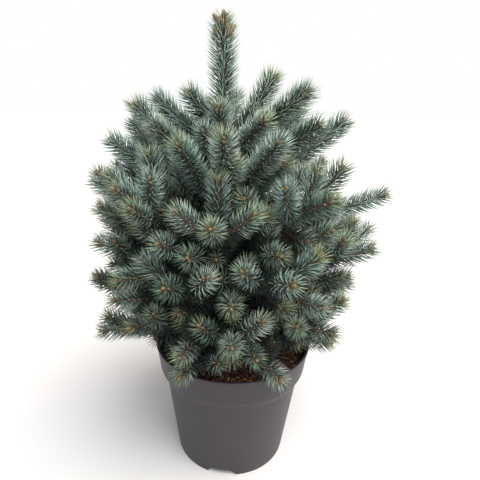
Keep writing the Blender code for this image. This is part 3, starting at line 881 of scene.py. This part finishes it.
frosted = add("GeometryNodeStoreNamedAttribute", {
    "Geometry": spray, "Name": "frost", "Value": share}, data_type="FLOAT", domain="INSTANCE")
chosen = [add("FunctionNodeCompare", {0: tint, 1: float(number), "Epsilon": 0.5},
              data_type="FLOAT", operation="EQUAL") for number in range(len(needle_materials))]
end_tree(add, frosted, zip(needle_materials, chosen))
print("needle tree:", len(needles_on_shoot.nodes), "nodes")

# %% [markdown]
# ## Where needles grow
#
# Every shoot becomes a path whose points say how long its needles are, how far they lean and which
# tint they take. The tint is dealt out by spray, as trees mix their blues, and the last needles
# round a bud are the youngest, so they are more olive than blue. Needles near the trunk, and on
# shoots lower in the crown those far behind the tip, take a nearly black tint: painted shade of the
# others. Low sprays mostly draw a darker tint as well, painted shade for light from above.

# %% Sizes, stances and tints along a shoot
NEEDLE_STEP = 0.003
NEEDLE_SIZES = {0: 1.16, 1: 1.04, 2: 1.00, 3: 0.90}
FOOT_SIZE, FOOT_SIZE_BOUGH, FOOT_RUN = 0.78, 0.70, 0.02
# Lean in degrees along the shoot and at its tip, size of the needles there, and the run over which
# they shorten: for the leader, then for the others.
LEADER_STANCE, STANCE, LEAN_RUN = (64, 54, 0.64, 0.022), (60, 42, 0.76, 0.012), 0.020
# A shoot takes little painted shade where its tip is above one height, and has longer needles above
# another.
HIGH_FROM, LONGER_FROM, LONGER = 0.47, 0.50, 1.10
# Tints that sprays draw from, and the share of each for tips below a height; low sprays mostly draw
# the darker lower tint, painted shade for light that comes from above.
SPRAY_TINTS = (0, 1, 2, 5)
TINT_SHARES = ((0.36, (1, 2, 4, 9)), (0.43, (2, 4, 4, 4)), (1.0, (5, 5, 3, 1)))
YOUNG_TINT, PAINTED_SHADE_TINT = 3, 4
YOUNG_END = 0.010
# Spread of the crown by height, the part of it that takes the painted shade tint, and the length
# below a tip that is left out of the painted shade.
CROWN_REACH = ((0.20, 0.18), (0.30, 0.21), (0.48, 0.21), (0.56, 0.15), (0.62, 0.08), (0.80, 0.05))
PAINTED_SHADE_WITHIN, PAINTED_SHADE_NEAR_TOP, LIT_LENGTH = 0.71, 0.24, 0.037
# Part of a bough's bare length that still has no needles.
BALD_PART = 0.45


# %% Paths for the needles
def needle_path(shoot, rng, first, last, least=FOOT_SIZE):
    """Points along a shoot between two distances, with size, lean and tint at each."""
    steps = max(2, round((last - first) / NEEDLE_STEP))
    top = shoot.curve.points[-1].z
    leader = shoot.mass == "leader"
    high = top > HIGH_FROM or shoot.mass == LONG_LIMB and shoot.order == 1
    shares = next(shares for below, shares in TINT_SHARES if top < below)
    spray_tint = rng.choices(SPRAY_TINTS, shares)[0]
    young_end = rng.uniform(0.0, YOUNG_END)
    widest, narrowest, tip_size, tip_run = LEADER_STANCE if leader else STANCE
    rows = []
    for k in range(steps + 1):
        at = first + (last - first) * k / steps
        point, _ = shoot.curve.place(shoot.start + at)
        to_tip = max(0.0, shoot.length - at)
        size = least + (1 - least) * min(1.0, at / FOOT_RUN)
        size *= NEEDLE_SIZES[shoot.order] * (tip_size + (1 - tip_size) * min(1.0, to_tip / tip_run))
        size *= LONGER if top > LONGER_FROM and not leader else 1.0
        lean = narrowest + (widest - narrowest) * min(1.0, to_tip / LEAN_RUN) ** 0.7
        near = (point - trunk_point(point.z)).length if point.z < TRUNK_TIP.z else 0.0
        painted_shade_reach = (PAINTED_SHADE_NEAR_TOP if high else PAINTED_SHADE_WITHIN) * read_off(CROWN_REACH, point.z)
        # Needles near the trunk, and needles far behind the tip of a lower shoot, take the dark
        # tint: painted shade.
        dull = not leader and (near < painted_shade_reach or to_tip > LIT_LENGTH and not high)
        tint = YOUNG_TINT if to_tip < young_end else PAINTED_SHADE_TINT if dull else spray_tint
        rows.append((point, size, math.radians(lean), float(tint)))
    return rows


# %% Deal the shoots out to pieces
AZIMUTHS = {f"{whorl}_{number}": limb[0]
            for whorl, *_, limbs in WHORLS for number, limb in enumerate(limbs, 1)}


def group_of(mass):
    """Pieces of foliage: half a whorl each, so that none grows too heavy."""
    if mass == "leader":
        return "leader"
    return f"{mass.split('_')[0]}_{'back' if AZIMUTHS[mass] < 180 else 'front'}"


rng = random.Random(23)
needle_paths = {}
for shoot in shoots:
    path = needle_path(shoot, rng, 0.0, shoot.length)
    needle_paths.setdefault(group_of(shoot.mass), []).append(path)
for mass, curve, stop in boughs:
    old = Shoot(mass, curve, 0.0, 1)
    path = needle_path(old, rng, stop * BALD_PART, stop, FOOT_SIZE_BOUGH)
    needle_paths[group_of(mass)].append(path)
print({group: len(paths) for group, paths in needle_paths.items()}, "paths")

# %% Grow the needles
ALL_MASSES = ["mass_leader"] + [f"mass_{mass}" for mass in AZIMUTHS]
total = 0
for number, (group, paths) in enumerate(sorted(needle_paths.items())):
    rows, edges = chained(paths)
    points, sizes, leans, tints = zip(*rows)
    piece = new_piece(f"needles_{group}", points, edges, size=sizes, lean=leans, tint=tints)
    seed = 10 * number
    if group == "leader":
        grow_by(piece, needles_on_shoot, seed=seed, spacing=LEADER_SPACING, lift=0.0, bend=0.14)
        masses = ["mass_leader"]
    else:
        spacing = HIGH_SPACING if group.startswith(HIGH_WHORLS) else NEEDLE_SPACING
        grow_by(piece, needles_on_shoot, seed=seed, spacing=spacing)
        masses = [f"mass_{mass}" for mass in AZIMUTHS if group_of(mass) == group]
    hand_over(piece, "needles", *masses)
    total += triangles(piece)
print(total, "triangles of needles,", total // 10, "needles")

# %% [markdown]
# ## Twigs, boughs and trunk
#
# Wood under the needles is a tube that follows a path and thins towards its tip. One tree makes
# them all: it sweeps a circle along the path, with the thickness kept in an attribute, and then
# pushes the skin in and out by cells the size of a bark scale, so that the outline is rough too.

# %% Build the bark tree


def bark_tree(name, finish):
    tree, add, size = new_tree(name, {"Step": 0.003, "Sides": 6, "Plate": 0.004, "Relief": 0.0004})
    path = add("GeometryNodeMeshToCurve", {"Mesh": size["Geometry"]})
    evened = add("GeometryNodeResampleCurve", {
        "Curve": path, "Length": size["Step"]}, mode="LENGTH")
    thick = add("GeometryNodeInputNamedAttribute", {"Name": "thickness"}, data_type="FLOAT")
    ring = add("GeometryNodeCurvePrimitiveCircle", {
        "Resolution": size["Sides"], "Radius": 1.0}, mode="RADIUS")
    skin = add("GeometryNodeCurveToMesh", {
        "Curve": evened, "Profile Curve": ring, "Scale": thick, "Fill Caps": True})
    per_metre = add("ShaderNodeMath", {0: 1.0, 1: size["Plate"]}, operation="DIVIDE")
    plates = add("ShaderNodeTexVoronoi", {"Scale": per_metre}, feature="DISTANCE_TO_EDGE")
    height = add("ShaderNodeMapRange", {
        "Value": plates, "From Max": 0.25, "To Min": -0.5, "To Max": 0.5})
    push = add("ShaderNodeMath", {0: height, 1: size["Relief"]}, operation="MULTIPLY")
    outwards = add("ShaderNodeVectorMath", {
        0: add("GeometryNodeInputNormal"), "Scale": push}, operation="SCALE")
    rough = add("GeometryNodeSetPosition", {"Geometry": skin, "Offset": outwards})
    end_tree(add, rough, [(finish, True)])
    return tree


def wood_piece(name, finish, paths, **inputs):
    """Bark along paths of (point, radius)."""
    rows, edges = chained(paths)
    points, radii = zip(*rows)
    piece = new_piece(name, points, edges, thickness=radii)
    return grow_by(piece, bark_tree(f"Bark of {name}", finish), **inputs)


# %% Trunk, boughs and twigs
BURIED, TRUNK_STEP, BARK_TOP = 0.006, 0.002, 0.560
BOUGH_COLLAR, COLLAR_RUN, BOUGH_STEPS = 0.0016, 0.010, 30
TWIG_RADII = {0: (0.0034, 0.0026), 1: (0.0032, 0.0024), 2: (0.0028, 0.0021), 3: (0.0022, 0.0017)}

trunk_path = []
for k in range(int((BARK_TOP - SOIL_LEVEL + BURIED) / TRUNK_STEP) + 1):
    height = SOIL_LEVEL - BURIED + TRUNK_STEP * k
    above_soil = max(height, SOIL_LEVEL)
    sunk = Vector((0, 0, height - above_soil))
    trunk_path.append((trunk_point(above_soil) + sunk, trunk_radius(above_soil)))
trunk = wood_piece("trunk_bark", trunk_bark, [trunk_path], step=0.0012, sides=48, plate=0.004,
                   relief=0.0008)
hand_over(trunk, "bark", "trunk")

bough_paths = []
for _, curve, stop in boughs:
    path = []
    for at in (k / BOUGH_STEPS for k in range(BOUGH_STEPS + 1)):
        radius = BOUGH_FOOT_RADIUS + (BOUGH_TIP_RADIUS - BOUGH_FOOT_RADIUS) * at
        collar = BOUGH_COLLAR * math.exp(-stop * at / COLLAR_RUN)
        path.append((curve.place(stop * at)[0], radius + collar))
    bough_paths.append(path)
bough_piece = wood_piece("bough_bark", bough_bark, bough_paths, step=0.0014, sides=14, plate=0.003,
                         relief=0.0005)
hand_over(bough_piece, "bark", *[f"bough_{name}" for name, _, _ in boughs])

twig_paths = []
for shoot in shoots:
    foot, tip = TWIG_RADII[shoot.order]
    last = len(shoot.line) - 1
    twig_paths.append([(p, foot + (tip - foot) * k / last) for k, p in enumerate(shoot.line)])
twigs = wood_piece("twig_bark", twig_bark, twig_paths, step=0.0032, sides=6, plate=0.0022,
                   relief=0.0005)
hand_over(twigs, "bark", *ALL_MASSES)

# %% [markdown]
# ## Buds
#
# A shoot ends in a fat bud with two to four smaller ones beside it, which become next year's
# shoots, and the leader ends in a whole cluster. One tree sets an egg of a few faces on each
# point and aims it by an attribute.

# %% Build the bud tree
BUD_LENGTH, BUD_WIDTH = 0.0075, 0.0044

buds_on_points, add, size = new_tree("Buds on points", {
    "Bud Length": BUD_LENGTH, "Bud Width": BUD_WIDTH})
dots = add("GeometryNodeMeshToPoints", {"Mesh": size["Geometry"]})
ball = add("GeometryNodeMeshUVSphere", {"Segments": 7, "Rings": 5, "Radius": 0.5})
place = add("ShaderNodeSeparateXYZ", {"Vector": add("GeometryNodeInputPosition")})
slim = add("ShaderNodeMapRange", {
    "Value": place.outputs["Z"], "From Min": -0.5, "From Max": 0.5, "To Min": 1.15, "To Max": 0.75})
width = add("ShaderNodeMath", {0: slim, 1: size["Bud Width"]}, operation="MULTIPLY")
x = add("ShaderNodeMath", {0: place.outputs["X"], 1: width}, operation="MULTIPLY")
y = add("ShaderNodeMath", {0: place.outputs["Y"], 1: width}, operation="MULTIPLY")
z = add("ShaderNodeMath", {0: place.outputs["Z"], 1: size["Bud Length"]}, operation="MULTIPLY")
spot = add("ShaderNodeCombineXYZ", {"X": x, "Y": y, "Z": z})
egg = add("GeometryNodeSetPosition", {"Geometry": ball, "Position": spot})
aim = add("GeometryNodeInputNamedAttribute", {"Name": "aim"}, data_type="FLOAT_VECTOR")
facing = add("FunctionNodeAlignRotationToVector", {"Vector": aim}, axis="Z")
grown = add("GeometryNodeInputNamedAttribute", {"Name": "size"}, data_type="FLOAT")
eggs = add("GeometryNodeInstanceOnPoints", {
    "Points": dots, "Instance": egg, "Rotation": facing, "Scale": grown})
end_tree(add, eggs, [(bud_material, True)])
print("bud tree:", len(buds_on_points.nodes), "nodes")

# %% Set the buds
BUD_SIZES = {0: 1.9, 1: 1.28, 2: 1.04, 3: 0.86}
BUDS_BESIDE = {0: 32, 1: 4, 2: 3, 3: 2}
# How far the small buds sit from the tip, sideways and along the shoot.
LEADER_ASIDE, LEADER_ALONG = (0.004, 0.014), (-0.020, 0.003)
ASIDE, ALONG = 0.0030, (-0.0045, 0.001)

rng = random.Random(31)
points, aims, sizes = [], [], []
for shoot in shoots:
    tip, ahead = shoot.curve.place(shoot.curve.length)
    first, second = frame_at(ahead)
    size = BUD_SIZES[shoot.order] * rng.uniform(0.85, 1.15)
    points.append(tip + ahead * 0.003 * size)
    aims.append(ahead)
    sizes.append(size)
    leading = shoot.order == 0
    beside = BUDS_BESIDE[shoot.order]
    turn = rng.uniform(0, math.tau)
    for k in range(beside):
        angle = turn + math.tau * k / beside + rng.uniform(-0.3, 0.3)
        out = first * math.cos(angle) + second * math.sin(angle)
        aim = (ahead * rng.uniform(0.6, 1.0) + out).normalized()
        aside = rng.uniform(*LEADER_ASIDE) if leading else ASIDE * size
        along = rng.uniform(*(LEADER_ALONG if leading else ALONG))
        points.append(tip + out * aside + ahead * along + aim * 0.001)
        aims.append(aim)
        sizes.append(size * rng.uniform(0.70, 0.90))
buds = grow_by(new_piece("buds", points, aim=aims, size=sizes), buds_on_points)
hand_over(buds, "bark", *ALL_MASSES)
print(len(points), "buds")

# %% [markdown]
# ## The pot
#
# A round thin-walled pot is a profile turned about its axis, so a lathe is the plain way. The mould
# rounds every corner, so the profile's corners are rounded first. Three arches in the foot let
# water out; they are cut with wedges, as a mould would leave them, and their edges are eased.


# %% Rounded corners and a lathe
def rounded(profile, steps=5):
    """Profile of (radius, height, corner radius) with each corner turned into an arc."""
    made = []
    for k, (x, z, corner) in enumerate(profile):
        here = Vector((x, z))
        if corner == 0 or k in (0, len(profile) - 1):
            made.append(here)
            continue
        before = Vector(profile[k - 1][:2]) - here
        after = Vector(profile[k + 1][:2]) - here
        cut = min(corner, 0.48 * before.length, 0.48 * after.length)
        start, end = here + before.normalized() * cut, here + after.normalized() * cut
        made += bent(start, here, end, steps).points
    return made


def turned(profile, sides):
    """Closed body from a profile that starts and ends on the axis."""
    bm = bmesh.new()
    first, last = bm.verts.new((0, 0, profile[0].y)), bm.verts.new((0, 0, profile[-1].y))
    turns = [math.tau * k / sides for k in range(sides)]
    rings = [[bm.verts.new((point.x * math.cos(a), point.x * math.sin(a), point.y)) for a in turns]
             for point in profile[1:-1]]
    for k in range(sides):
        after = (k + 1) % sides
        bm.faces.new((first, rings[0][k], rings[0][after]))
        for low, high in zip(rings, rings[1:]):
            bm.faces.new((low[k], high[k], high[after], low[after]))
        bm.faces.new((last, rings[-1][after], rings[-1][k]))
    bmesh.ops.recalc_face_normals(bm, faces=bm.faces)
    return bm


def piece_from(name, bm, material):
    mesh = bpy.data.meshes.new(name)
    bm.to_mesh(mesh)
    bm.free()
    mesh.materials.append(material)
    return linked(name, mesh)


def smoothed(piece):
    for face in piece.data.polygons:
        face.use_smooth = True


# %% Turn the pot
COLLAR_HEIGHT, COLLAR_FOOT_RADIUS, NECK_RADIUS = 0.050, 0.1235, 0.1149
FOOT_RADIUS, FLOOR_RISE, RIM_LIP = 0.0945, 0.012, 0.004
RIM_STEP = 0.0012
neck = POT_HEIGHT - COLLAR_HEIGHT
floor_top = FLOOR_RISE + POT_WALL


def wall_at(height):
    """Point of the sloping outer wall, so that a ring of edges keeps the cuts below it."""
    return FOOT_RADIUS + (NECK_RADIUS - FOOT_RADIUS) * height / (neck - 0.005), height, 0


pot_profile = [
    (0.0, FLOOR_RISE, 0),
    (FOOT_RADIUS - POT_WALL, FLOOR_RISE, 0.0015),
    (FOOT_RADIUS - POT_WALL, 0.0, 0.0008),
    (FOOT_RADIUS, 0.0, 0.0012),
    wall_at(0.0125), wall_at(0.022), wall_at(0.060), wall_at(0.110),
    (NECK_RADIUS, neck - 0.005, 0.007),
    (COLLAR_FOOT_RADIUS, neck + 0.004, 0.009),
    (POT_RIM_RADIUS - RIM_STEP, POT_HEIGHT - RIM_LIP, 0.0008),
    (POT_RIM_RADIUS, POT_HEIGHT - RIM_LIP + 0.0006, 0.0008),
    (POT_RIM_RADIUS, POT_HEIGHT, 0.0011),
    (POT_RIM_RADIUS - RIM_STEP - POT_WALL, POT_HEIGHT, 0.0010),
    (COLLAR_FOOT_RADIUS - POT_WALL, neck + 0.004, 0.007),
    (NECK_RADIUS - POT_WALL, neck - 0.003, 0.007),
    (FOOT_RADIUS - POT_WALL + 0.0019, floor_top, 0.002),
    (0.0, floor_top, 0),
]
pot = piece_from("pot_shell", turned(rounded(pot_profile), 180), pot_material)
print("pot profile:", len(pot_profile), "corners")

# %% Cut the arches in its foot
NOTCH_AZIMUTHS = (262, 22, 142)
NOTCH_WIDTH, NOTCH_TOP_WIDTH, NOTCH_HEIGHT = 0.049, 0.039, 0.0112
BELOW, CUT_DEPTH = 0.002, 0.016

wedges = bmesh.new()
for azimuth in NOTCH_AZIMUTHS:
    outline = ((-NOTCH_WIDTH / 2, -BELOW), (NOTCH_WIDTH / 2, -BELOW),
               (NOTCH_TOP_WIDTH / 2, NOTCH_HEIGHT), (-NOTCH_TOP_WIDTH / 2, NOTCH_HEIGHT))
    face = wedges.faces.new([wedges.verts.new((FOOT_RADIUS - 0.009, y, z)) for y, z in outline])
    grown = bmesh.ops.extrude_face_region(wedges, geom=[face])
    moved = [v for v in grown["geom"] if isinstance(v, bmesh.types.BMVert)]
    bmesh.ops.translate(wedges, verts=moved, vec=(CUT_DEPTH, 0, 0))
    bmesh.ops.rotate(wedges, verts=moved + list(face.verts), cent=(0, 0, 0),
                     matrix=Matrix.Rotation(math.radians(azimuth), 3, "Z"))
bmesh.ops.recalc_face_normals(wedges, faces=wedges.faces)
cutter = piece_from("notch_wedges", wedges, pot_material)
cut = pot.modifiers.new("drain arches", "BOOLEAN")
cut.operation, cut.object, cut.solver = "DIFFERENCE", cutter, "EXACT"
ease = pot.modifiers.new("eased edges", "BEVEL")
ease.width, ease.segments = 0.0005, 2
ease.limit_method, ease.angle_limit = "ANGLE", math.radians(50)
smoothed(evaluated(pot))
bpy.data.objects.remove(cutter)
pot.data.set_sharp_from_angle(angle=math.radians(40))
hand_over(pot, "pot", "pot")

# %% [markdown]
# ## The soil
#
# The growing mix is a turned body under the rim whose top is pushed up and down by noise, as
# watered peat settles. On it lie shreds of bark. They are spread by Geometry Nodes, one small
# wedge repeated, each with its own length, turn and one of three colours.

# %% Turn the soil and make its top uneven
SOIL_SINK, SOIL_LUMP, SOIL_GAP = 0.004, 0.0032, 0.0004
# The top is level out to a part of its radius, and sinks from there to the wall.
TOP_STEPS, LEVEL_PART = 40, 0.45
# Strength and grain, in lumps a metre, of each noise.
LUMPS = ((1.0, 90), (0.6, 260), (0.3, 600))
# The soil's edge is a little inside the collar's wall, which leans in by an eighth of its depth.
edge = POT_RIM_RADIUS - RIM_STEP - POT_WALL - SOIL_GAP - (POT_HEIGHT - SOIL_LEVEL) / 8
profile = [(0.0, SOIL_LEVEL)]
for part in (k / TOP_STEPS for k in range(1, TOP_STEPS + 1)):
    sink = max(0.0, (part - LEVEL_PART) / (1 - LEVEL_PART))
    profile.append((edge * part, SOIL_LEVEL - SOIL_SINK * sink))
profile += [
    (COLLAR_FOOT_RADIUS - POT_WALL - 0.0010, neck + 0.006),
    (NECK_RADIUS - POT_WALL - 0.0010, neck - 0.004),
    (FOOT_RADIUS - POT_WALL + 0.0012, floor_top + SOIL_GAP),
    (0.0, floor_top + SOIL_GAP),
]
bm = turned([Vector(p) for p in profile], 120)
for vert in bm.verts:
    if vert.co.z > SOIL_LEVEL - SOIL_SINK - 0.0005:
        vert.co.z += SOIL_LUMP * sum(part * noise.noise(vert.co * grain) for part, grain in LUMPS)
soil = piece_from("soil_body", bm, peat)
smoothed(soil)
hand_over(soil, "soil", "soil")

# %% Spread shreds of bark on it
SHREDS_PER_M2 = 52000.0
# Shares of brown, red and pale shreds: each takes over from the last at a draw from 0 to 1.
SHRED_SHARES = ((-1.0, "brown"), (0.40, "red"), (0.92, "pale"))

shreds_on_soil, add, size = new_tree("Shreds on soil", {
    "Per Square Metre": SHREDS_PER_M2, "Seed": 4})
facing = add("ShaderNodeSeparateXYZ", {"Vector": add("GeometryNodeInputNormal")})
place = add("ShaderNodeSeparateXYZ", {"Vector": add("GeometryNodeInputPosition")})
upward = add("FunctionNodeCompare", {
    0: facing.outputs["Z"], 1: 0.4}, data_type="FLOAT", operation="GREATER_THAN")
high = add("FunctionNodeCompare", {
    0: place.outputs["Z"], 1: SOIL_LEVEL - 0.012}, data_type="FLOAT", operation="GREATER_THAN")
flat = add("ShaderNodeCombineXYZ", {"X": place.outputs["X"], "Y": place.outputs["Y"]})
out = add("ShaderNodeVectorMath", {0: flat}, operation="LENGTH")
within = add("FunctionNodeCompare", {
    0: out, 1: edge - 0.006}, data_type="FLOAT", operation="LESS_THAN")
upper = add("FunctionNodeBooleanMath", {0: upward, 1: high}, operation="AND")
top = add("FunctionNodeBooleanMath", {0: upper, 1: within}, operation="AND")
dots = add("GeometryNodeDistributePointsOnFaces", {
    "Mesh": size["Geometry"], "Selection": top, "Density": size["Per Square Metre"],
    "Seed": size["Seed"]}, distribute_method="RANDOM")

# %% Shape one shred
chip = add("GeometryNodeMeshCube", {"Size": (0.0100, 0.0024, 0.0011), "Vertices X": 3})
body = add("ShaderNodeSeparateXYZ", {"Vector": add("GeometryNodeInputPosition")})
far = add("ShaderNodeMath", {0: body.outputs["X"]}, operation="ABSOLUTE")
torn = add("ShaderNodeMapRange", {"Value": far, "From Max": 0.005, "To Min": 1.0, "To Max": 0.35})
y = add("ShaderNodeMath", {0: body.outputs["Y"], 1: torn}, operation="MULTIPLY")
curl = add("ShaderNodeMath", {0: far, 1: -0.22, 2: body.outputs["Z"]}, operation="MULTIPLY_ADD")
spot = add("ShaderNodeCombineXYZ", {"X": body.outputs["X"], "Y": y, "Z": curl})
shred = add("GeometryNodeSetPosition", {"Geometry": chip, "Position": spot})

# %% Strew the shreds and share out their colours
tumble = add("FunctionNodeRandomValue", {
    0: (-0.55, -0.45, 0.0), 1: (0.55, 0.45, math.tau), "Seed": size["Seed"]},
    data_type="FLOAT_VECTOR")
lie = add("FunctionNodeEulerToRotation", {"Euler": tumble})
scale = add("FunctionNodeRandomValue", {
    0: (0.25, 0.5, 0.6), 1: (1.35, 1.5, 1.5), "Seed": 9}, data_type="FLOAT_VECTOR")
strewn = add("GeometryNodeInstanceOnPoints", {
    "Points": dots, "Instance": shred, "Rotation": lie, "Scale": scale})
kind = add("FunctionNodeRandomValue", {2: 0.0, 3: 1.0, "Seed": 12}, data_type="FLOAT")
sorted_out = add("GeometryNodeStoreNamedAttribute", {
    "Geometry": strewn, "Name": "kind", "Value": kind}, data_type="FLOAT", domain="INSTANCE")
again = add("GeometryNodeInputNamedAttribute", {"Name": "kind"}, data_type="FLOAT")
takes = [add("FunctionNodeCompare", {0: again, 1: least}, data_type="FLOAT",
             operation="GREATER_THAN") for least, _ in SHRED_SHARES]
finishes = [shred_finishes[kind] for _, kind in SHRED_SHARES]
end_tree(add, sorted_out, zip(finishes, takes), smooth=False)
shreds = linked("bark_shreds", soil.data.copy())
grow_by(shreds, shreds_on_soil)
hand_over(shreds, "soil", "soil")

# %% [markdown]
# ## The floor
#
# A sheet of matt pale paper, wide enough to meet the white world behind, so that the plant stands
# on its own soft shadow. Its fibres are about 4 mm long.

# %% Lay the floor
floor_material, add = new_material("matt_pale_paper")
where = add("ShaderNodeTexCoord").outputs["Object"]
fibre = add("ShaderNodeTexNoise", {"Vector": where, "Scale": 1 / 0.004, "Detail": 2.0})
paper = add("ShaderNodeMix", {
    "Factor": fibre, 6: colour("c6c8ca"), 7: colour("cdcfd1")}, data_type="RGBA")
shader = add("ShaderNodeBsdfPrincipled", {"Base Color": paper, "Roughness": 0.9})
add("ShaderNodeOutputMaterial", {"Surface": shader})
bm = bmesh.new()
bmesh.ops.create_circle(bm, cap_ends=True, segments=64, radius=60.0)
floor = piece_from("floor", bm, floor_material)
floor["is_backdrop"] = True
print("floor", floor.name)

# %% [markdown]
# ## Boxes and triangles
#
# The box of the solids and the box of the dressed plant are printed side by side, with the count of
# triangles. The dressed plant has to stay within the box of its solids.

# %% Compare the boxes
dressed_box = [[float(c) for c in corner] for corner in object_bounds()]
for label, solid, dressed in zip(("low", "high"), SOLID_BOX, dressed_box):
    print(label, [round(a, 4) for a in solid], [round(b, 4) for b in dressed])
print(sum(triangles(o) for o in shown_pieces() if o.type == "MESH"), "triangles in all")
